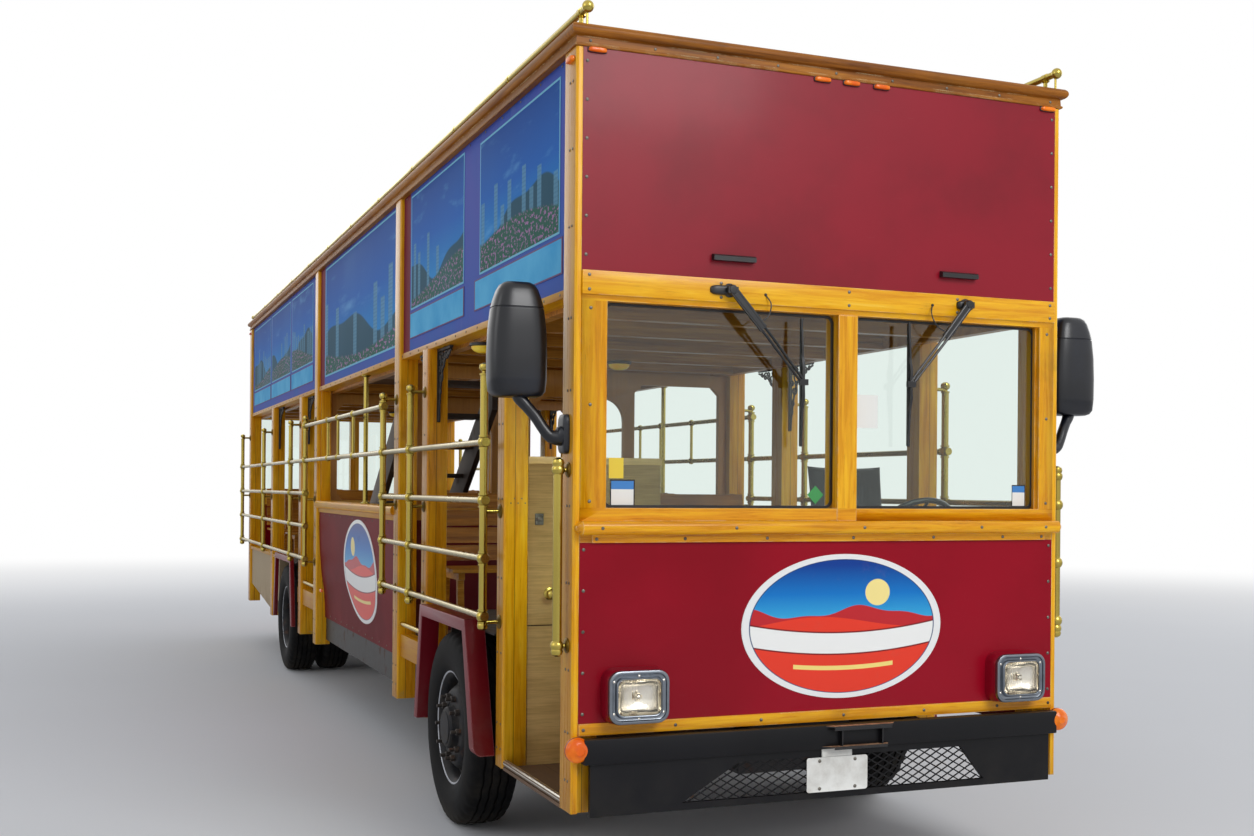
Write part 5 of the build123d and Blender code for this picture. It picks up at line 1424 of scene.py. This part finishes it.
ring = squarish()
rows = []
for z, wide, deep in mirror["sections"]:
    run = mirror["run"] + deep * ring[:, 1]
    rows.append(np.stack([mirror["x"] + wide * ring[:, 0], frontFace + run, np.full(len(ring), z)], -1))
head = surface(np.array(rows), wrapColumns=True, capped=True)
armPath = smoothPath([at(x, run, z) for x, run, z in mirror["arm"]], 8)
armSizes = np.interp(np.linspace(0, 1, len(armPath)), np.linspace(0, 1, len(mirror["armSizes"])),
                     mirror["armSizes"])
arm = swept(armPath, circle(0.024, 20), (0, 1, 0), armSizes)
pad = blister(at(postFace + 0.0001, 0.095, 1.9995), (0, 0.049, 0), (0, 0, 0.083), (0.0255, 0, 0), 0.42)
place("mirrorHeads", bothSides(join([head, arm, pad])), finishes["mirrorBlack"],
      replaces=("mirrors",), smooth=50)
sections = scaled(mirror["glass"], ((1.0, 0.2480), (1.0, 0.2570), (0.97, 0.2585), (0.5, 0.2588),
                                    (0.01, 0.2588)))
glassFace = layered(mirror["x"], mirror["glassZ"], sections, 8)
place("mirrorGlass", bothSides(glassFace), finishes["mirrorGlass"], replaces=("mirrors",))
print("mirrors made")

# wipers: twin-rod arms from a capped pivot to a hung blade, with a washer hose
wipers = (
    {"pivot": (-0.522, 2.627), "blade": (-0.178, 2.244), "stretch": 0.030},
    # the kerb side's foot reaches further out
    {"pivot": (0.680, 2.630), "blade": (0.371, 2.254), "stretch": 0.0},
)
vents = {"spans": ((-0.600, -0.400), (0.550, 0.745)),
         "outline": ((-0.028, 2.753), (0.002, 2.753), (0.002, 2.782), (-0.020, 2.779), (-0.028, 2.772))}
pivotCap = [(0.030, 0), (0.030, 0.006), (0.022, 0.012), (0.020, 0.042), (0.017, 0.047), (0, 0.048)]
parts = []
for wiper in wipers:
    (px, pz), (bx, bz), stretch = wiper["pivot"], wiper["blade"], wiper["stretch"]
    slopeX, slopeZ = bx - px, bz - pz
    way = np.sign(slopeX)
    parts.append(lathe(pivotCap, at(px, -0.012, pz), (0, -1, 0), 24))
    parts.append(box(at(px - 0.024, -0.056, pz - 0.016), at(px + 0.024, -0.040, pz + 0.012)))
    parts.append(blister(at(px - stretch, -0.011, pz), (0.046 + stretch * 0.5, 0, 0), (0, 0, 0.021),
                         (0, -0.022, 0), 0.6))
    channel = [at(px + slopeX * share, -0.050 - share * 0.010, pz + slopeZ * share) for share in (-0.02, 0.42)]
    parts.append(swept(channel, flatBar(0.019, 0.005), (0, 1, 0)))
    for lift in (-0.016, 0.016):
        twinRod = [at(px + lift, -0.050, pz), at((px + bx) / 2 + lift * 0.8, -0.055, (pz + bz) / 2),
                   at(bx + lift * 0.6, -0.046, bz)]
        parts.append(swept(twinRod, circle(0.0062, 10)))
    parts.append(box(at(bx - 0.020, -0.058, bz - 0.013), at(bx + 0.020, -0.040, bz + 0.013)))
    for drop in (-0.125, 0.125):
        yoke = [at(bx, -0.048, bz), at(bx, -0.052, bz + drop * 0.5), at(bx, -0.036, bz + drop)]
        claw = [at(bx, -0.034, bz + drop - 0.11), at(bx, -0.042, bz + drop), at(bx, -0.034, bz + drop + 0.11)]
        parts += [swept(yoke, flatBar(0.006, 0.003), (0, 1, 0)), swept(claw, flatBar(0.004, 0.002), (0, 1, 0))]
    parts.append(box(at(bx - 0.005, -0.034, bz - 0.280), at(bx + 0.005, -0.024, bz + 0.280)))
    parts.append(box(at(bx - 0.0015, -0.026, bz - 0.276), at(bx + 0.0015, -0.014, bz + 0.276)))
    hole = at(px + way * 0.175, -0.012, pz - 0.008)
    hose = smoothPath([hole, at(px + way * 0.192, -0.032, pz - 0.050), at(px + way * 0.172, -0.044, pz - 0.104),
                       at(px + way * 0.122, -0.055, pz - 0.137)])
    parts += [ball(hole, 0.007), swept(hose, circle(0.0028, 8))]
parts += [prism(vents["outline"], low, high) for low, high in vents["spans"]]
place("wipersAndVents", join(parts), finishes["blackPlastic"], replaces=("wipers_and_vents",))

# valance: a folded black sheet round a trapezoid of expanded mesh
valance = {"low": 0.420, "high": 0.639, "halfWide": 1.150, "run": -0.040, "thick": 0.020,
           "opening": ((-0.470, 0.606), (0.656, 0.606), (0.784, 0.450), (-0.737, 0.450))}
strand = {"pitch": 0.062, "slope": radians(29), "run": -0.031, "halfWide": 0.0028, "halfThick": 0.0016}
low, high, left, right = valance["low"], valance["high"], -valance["halfWide"], valance["halfWide"]
(topLeft, top), (topRight, top), (footRight, foot), (footLeft, foot) = valance["opening"]
sheetParts = []
for corners in (((left, low), (right, low), (footRight, foot), (footLeft, foot)),
                ((left, high), (left, low), (footLeft, foot), (topLeft, top)),
                ((right, low), (right, high), (topRight, top), (footRight, foot)),
                ((left, high), (topLeft, top), (topRight, top), (right, high))):
    face = np.array([at(x, valance["run"], z) for x, z in corners])
    points = np.vstack([face, face + (0, valance["thick"], 0)])
    sheetParts.append((points, np.array(plateFaces(0) + [(7, 6, 5, 4)]), np.zeros((0, 3), int)))
place("valanceSheet", join(sheetParts), finishes["black"], replaces=("front_valance",))


def meshStrands(way):
    # every strand of one slant, from where it enters the opening to where it leaves it:
    # x = x0 + way (z - foot) / tan(slope)
    reach = (top - foot) / np.tan(strand["slope"])
    starts = np.arange(footLeft - reach, footRight + reach, strand["pitch"])
    share = np.linspace(0, 1, 25)
    x, z = starts[:, None] + way * share * reach, foot + share * (top - foot)
    inside = (x > footLeft + share * (topLeft - footLeft)) & (x < footRight + share * (topRight - footRight))
    strands = []
    for row, kept in zip(x, inside):
        if kept.sum() > 1:
            ends = [at(row[k], strand["run"] + way * 0.001, z[k]) for k in np.flatnonzero(kept)[[0, -1]]]
            strands.append(swept(ends, flatBar(strand["halfWide"], strand["halfThick"]), (0, 1, 0)))
    return strands


place("valanceMesh", join(meshStrands(1) + meshStrands(-1)), finishes["black"],
      replaces=("front_valance",))
print("wipers and valance made")

# number plate: blank, with a raised rim and four screws
plate = {"x": 0.005, "z": 0.527, "outline": (0.305, 0.152, 0.012), "face": -0.0522,
         "steps": ((1.0, -0.0492), (1.0, -0.0525), (0.985, -0.0535), (0.965, -0.0530), (0.950, -0.0522),
                   (0.3, -0.0522), (0.01, -0.0522)), "holesX": 0.1778, "holesZ": 0.12065}
plateFace = layered(plate["x"], plate["z"], scaled(plate["outline"], plate["steps"]), 5)
place("plateFace", plateFace, finishes["plate"])
plateScrews = [at(plate["x"] + sx * plate["holesX"] / 2, plate["face"], plate["z"] + sz * plate["holesZ"] / 2)
               for sx in (-1, 1) for sz in (-1, 1)]
place("plateScrews", screwHeads(plateScrews, (0, -1, 0), 0.008), finishes["screw"])

# bumper step: two ledges in front of the bumper with struts between them
stepRuns = (-0.0895, -0.056)


def ledge(backLow, backHigh, frontLow, frontHigh, z, thick, lip):
    # a flat plate that narrows forwards, its front edge turned down by lip
    near, far = stepRuns
    corners = ((backLow, far), (backHigh, far), (frontHigh, near), (frontLow, near))
    rows = [[at(x, run, level) for x, run in corners] for level in (z - thick, z)]
    return [surface(np.array(rows), wrapColumns=True, capped=True),
            box(at(frontLow, near, z - lip), at(frontHigh, near + 0.004, z - thick + 0.0005))]


stepParts = ledge(-0.062, 0.292, -0.030, 0.262, 0.741, 0.007, 0.020)
stepParts += ledge(-0.082, 0.262, -0.030, 0.240, 0.652, 0.006, 0.014)
stepParts += [box(at(x, -0.084, 0.646), at(x + 0.006, -0.058, 0.735)) for x in (0.010, 0.214)]
place("bumperStep", join(stepParts), finishes["step"], bevel=0.0015)
jambHoles = [at(-1.186 + 0.018 * k, 0.9898, 1.700 + 0.022 * (k % 2)) for k in range(5)]
place("jambHoles", screwHeads(jambHoles, (0, -1, 0), 0.0035), finishes["screw"])

# screws and bolts on the face, the posts and the side panels
faceRows = (  # X of each, the run, Z of each
    ((-1.160, -0.560, 0.069, 0.640, 1.160), -0.012, (2.596, 2.656)),
    ((-1.110, -0.500, 0.130, 0.750, 1.110), -0.060, (1.610,)),
    ((-1.120, -0.720, -0.330, 0.100, 0.520, 0.900, 1.120), -0.014, (1.564,)),
    ((-1.170, -0.755, -0.350, 0.060, 0.480, 0.880, 1.170), -0.008, (0.776,)),
    ((-1.172, 1.172), 0, (0.840, 1.010, 1.180, 1.350, 1.520)),
    ((-1.172, 1.172), 0, (2.740, 2.900, 3.060, 3.220, 3.380, 3.540)),
    ((-1.150, 1.150), -0.004, (1.720, 2.120, 2.520)),
)
postRows = (  # the runs, Z of each
    ((0.040, 0.075), (0.560, 0.760, 1.020, 1.380, 1.700, 2.180, 2.480, 2.860, 3.180, 3.460)),
    ((1.020, 1.080, 2.630, 3.360, 3.450, 6.575, 6.665, 7.490, 9.430, 11.400),
     (0.520, 0.640, 0.980, 1.340, 1.720, 2.080, 2.440)),
)
stripRows = ((1.205, 2.597, 0.08, 0.22), (panelFace + 0.0005, 3.582, 0.10, 0.30))  # X, Z, first, pitch
bays = ((0.150, 3.330), (3.480, 6.545), (6.695, 11.330))
faceSpots = [at(x, run, z) for xs, run, heights in faceRows for x in xs for z in heights]
sideSpots = [at(postFace, run, z) for runs, heights in postRows for run in runs for z in heights]
sideSpots += [at(x, run, z) for x, z, first, pitch in stripRows for low, high in bays
              for run in np.arange(low + first, high, pitch)]
sideSpots += [at(panelX(z) + 0.0002, run, z) for run in np.arange(3.520, 6.520, 0.25) for z in (1.535, 0.690)]
left = np.array(sideSpots) * (-1, 1, 1)
place("faceScrews", screwHeads(faceSpots, (0, -1, 0), 0.0075), finishes["screw"])
place("streetScrews", screwHeads(sideSpots, (1, 0, 0), 0.0065), finishes["screw"])
place("kerbScrews", screwHeads(left, (-1, 0, 0), 0.0065), finishes["screw"])
print("plate and screws made")


# wheels: the tyre's section has ribs and grooves, its shoulder blocks come and go round the tread
tyre = {
    "half": ((0.098, 0.287), (0.112, 0.298), (0.128, 0.335), (0.1345, 0.385), (0.135, 0.400), (0.133, 0.430),
             (0.126, 0.462), (0.118, 0.482), (0.108, 0.493), (0.098, 0.4995), (0.070, 0.5035), (0.068, 0.492),
             (0.060, 0.492), (0.058, 0.5035), (0.028, 0.5045), (0.026, 0.492), (0.018, 0.492), (0.016, 0.5048)),
    "bead": (0.090, 0.2865), "zigzags": 30, "zigzag": 0.006, "blocks": 40, "blockDepth": 0.008, "blockGap": 0.3,
}


def tyreShape(x, y, segments=180):
    # point (i, t) = centre + (across_i + zigzag wave(t), radius_i less the gaps between blocks, turned by t);
    # the wave is a triangle's, on the tread only
    half, (beadAcross, beadRadius) = np.array(tyre["half"]), tyre["bead"]
    across = np.concatenate([-half[:, 0], half[::-1, 0], (beadAcross, -beadAcross)])
    radius = np.concatenate([half[:, 1], half[::-1, 1], (beadRadius, beadRadius)])
    t = np.linspace(0, 2 * pi, segments, endpoint=False)
    wave = np.abs((t * tyre["zigzags"] / pi) % 2 - 1) - 0.5
    notch = (t * tyre["blocks"] / (2 * pi)) % 1 < tyre["blockGap"]
    tread = (np.abs(across) < 0.075) & (radius > 0.45)
    shoulder = (np.abs(across) > 0.09) & (radius > 0.475)
    shifted = across[:, None] + tread[:, None] * wave * tyre["zigzag"]
    reach = radius[:, None] - shoulder[:, None] * notch * tyre["blockDepth"]
    points = np.stack([x + shifted, y + reach * np.cos(t), axleHeight + reach * np.sin(t)], -1)
    return surface(points, wrapRows=True, wrapColumns=True)


def ringOf(nut, side, count, radius, x, y, phase=0.0):
    # a nut at spots evenly round the axle line, facing out on its side
    points, quads, triangles = nut
    t = phase + np.arange(count) * 2 * pi / count
    spots = np.stack([np.full(count, side * x), y + radius * np.cos(t), axleHeight + radius * np.sin(t)], -1)
    return repeated((points * (side, 1, 1), quads, triangles), spots)


hexNut = lathe([(0.018, 0), (0.018, 0.022), (0.015, 0.025), (0.010, 0.025), (0.010, 0.052), (0, 0.053)],
               (0, 0, 0), (1, 0, 0), 6)
smallNut = lathe([(0.009, 0), (0.009, 0.010), (0.005, 0.010), (0.005, 0.022), (0, 0.022)],
                 (0, 0, 0), (1, 0, 0), 6)
wheels = (
    {"pieces": ("frontTyre", "frontRim", "frontNuts"), "nodes": ("front_tyre_", "front_rim_"),
     "body": "front_wheel_", "finish": "frontWheel", "run": frontAxle, "x": 1.155, "tyresX": (1.155,),
     "nutsOut": 0.1035, "hubOut": 0.126, "hubRadius": 0.074, "outer": (
         (0.262, -0.094), (0.2855, -0.094), (0.2855, 0.094), (0.290, 0.100), (0.301, 0.104), (0.303, 0.108),
         (0.300, 0.1105),
         (0.292, 0.110), (0.284, 0.104), (0.272, 0.092), (0.264, 0.070), (0.262, 0.040), (0.256, 0.034),
         (0.246, 0.042),
         (0.224, 0.066), (0.206, 0.088), (0.196, 0.099), (0.186, 0.104), (0.140, 0.104), (0.136, 0.100),
         (0.116, 0.100),
         (0.112, 0.106), (0.108, 0.132), (0.100, 0.141), (0.088, 0.144), (0.086, 0.1485), (0.060, 0.149),
         (0.0, 0.1495)),
     "inner": ((0.262, 0.014), (0.248, 0.020), (0.180, 0.086), (0.092, 0.086), (0.092, 0.020), (0.200, 0.020),
               (0.200, -0.070), (0.040, -0.070))},
    {"pieces": ("rearTyres", "rearRims", "rearNuts"), "nodes": ("rear_tyres_", "rear_rim_"),
     "body": "rear_wheels_", "finish": "rearWheel", "run": rearAxle, "x": 0.945, "tyresX": (1.100, 0.790),
     "nutsOut": 0.0125, "hubOut": 0.127, "hubRadius": 0.092, "outer": (
         (0.262, 0.060), (0.2855, 0.064), (0.2855, 0.249), (0.290, 0.255), (0.301, 0.259), (0.303, 0.262),
         (0.300, 0.2645),
         (0.292, 0.264), (0.284, 0.258), (0.268, 0.240), (0.262, 0.214), (0.262, 0.066), (0.254, 0.054),
         (0.230, 0.034),
         (0.206, 0.018), (0.196, 0.013), (0.130, 0.013), (0.118, 0.018), (0.112, 0.030), (0.106, 0.110),
         (0.100, 0.124),
         (0.086, 0.130), (0.082, 0.160), (0.074, 0.1640), (0.0, 0.1645)),
     "inner": ((0.262, -0.250), (0.2855, -0.250), (0.2855, -0.062), (0.262, -0.062), (0.262, -0.014),
               (0.205, -0.014),
               (0.205, -0.205), (0.190, -0.205), (0.190, -0.046), (0.100, -0.046), (0.046, -0.046))},
)
for sideName, side in (("left", 1), ("right", -1)):
    for wheel in wheels:
        y = frontFace + wheel["run"]
        tyreNode, rimNode = (nodeName + sideName for nodeName in wheel["nodes"])
        rims = [lathe(wheel[key], (side * wheel["x"], y, axleHeight), (side, 0, 0), 72)
                for key in ("outer", "inner")]
        nuts = [ringOf(hexNut, side, 10, 0.1625, wheel["x"] + wheel["nutsOut"], y),
                ringOf(smallNut, side, 8, wheel["hubRadius"], wheel["x"] + wheel["hubOut"], y, 0.2)]
        shapes = ([tyreShape(side * x, y) for x in wheel["tyresX"]], rims, nuts)
        dressing = (("tyre", "tyre_rubber", tyreNode, 40), (wheel["finish"], "wheel_steel", rimNode, 30),
                    ("nuts", "wheel_steel", rimNode, 30))
        for pieceName, parts, (finishKey, slotName, nodeName, smooth) in zip(wheel["pieces"], shapes, dressing):
            place(pieceName + sideName.capitalize(), join(parts), finishes[finishKey],
                  wheel["body"] + sideName, (nodeName,), smooth)
print("wheels made")

# camera: the photograph's own, solved from the body's straight edges
lens = {"place": (-3.125, -11.161, 1.774), "turn": -21.61, "roll": 0.47, "length": 40.0, "shift": 0.0563}
camera = bpy.data.objects.new("camera", bpy.data.cameras.new("camera"))
bpy.context.scene.collection.objects.link(camera)
camera.matrix_world = (Matrix.Translation(lens["place"]) @ Matrix.Rotation(radians(lens["turn"]), 4, "Z")
                       @ Matrix.Rotation(radians(90), 4, "X") @ Matrix.Rotation(radians(lens["roll"]), 4, "Z"))
camera.data.lens = lens["length"]
camera.data.sensor_width = 36.0
camera.data.sensor_fit = "HORIZONTAL"
camera.data.shift_y = lens["shift"]
camera.data.clip_end = 200.0
bpy.context.scene.camera = camera

# light: a soft key from the front, a weak fill on each side, a pale world
lights = [("key", (2.5, -17.0, 9.5), (0.0, -3.0, 1.6), 6.0, 950.0),
          ("kerbFill", (-15.0, -6.0, 8.0), (0.0, 0.0, 1.5), 8.0, 300.0),
          ("streetFill", (15.0, 2.0, 9.0), (0.0, 0.0, 1.5), 8.0, 300.0),
          ("rearFill", (-3.0, 17.0, 9.0), (0.0, 4.0, 1.5), 8.0, 300.0)]
for name, spot, aim, size, power in lights:
    data = bpy.data.lights.new(name, "AREA")
    data.energy, data.size = power, size
    lamp = bpy.data.objects.new(name, data)
    bpy.context.scene.collection.objects.link(lamp)
    away = np.array(spot) - np.array(aim)
    lamp.location = spot
    lamp.rotation_euler = Vector(away.tolist()).to_track_quat("Z", "Y").to_euler()

# world: grey light, white where it is seen; floor: pale, fading into the white far off
world = bpy.data.worlds.new("studio")
world.use_nodes = True
bpy.context.scene.world = world
sky = Graph(world.node_tree)
seen = sky.ray("Is Camera Ray") | sky.ray("Is Transmission Ray") | sky.ray("Is Glossy Ray")
sky.feed(world.node_tree.nodes["Background"].inputs["Color"],
         sky.mix(seen, (0.42, 0.44, 0.48, 1), (1.0, 1.0, 1.0, 1)))

floorMesh = bpy.data.meshes.new("floor")
floorMesh.from_pydata([(-60, -60, -0.002), (60, -60, -0.002), (60, 60, -0.002), (-60, 60, -0.002)], [],
                      [(0, 1, 2, 3)])
floor = bpy.data.objects.new("floor", floorMesh)
bpy.context.scene.collection.objects.link(floor)
paint = Paint("paleFloor", Roughness=0.9)
x, y, z = paint.xyz
far = (x * x + y * y).root().ease(9.0, 26.0)
paint.color = paint.mix(paint.noise(0.7) * 0.3, (0.80, 0.80, 0.80, 1), (0.74, 0.74, 0.74, 1))
floorMesh.materials.append(paint.finish())
glow = paint.add("ShaderNodeEmission", {}, {"Color": (1, 1, 1, 1), "Strength": 1.0})
paint.blend(far * paint.ray("Is Camera Ray"), glow)
bpy.context.scene.view_settings.view_transform = "Standard"
print("camera, light and floor set")
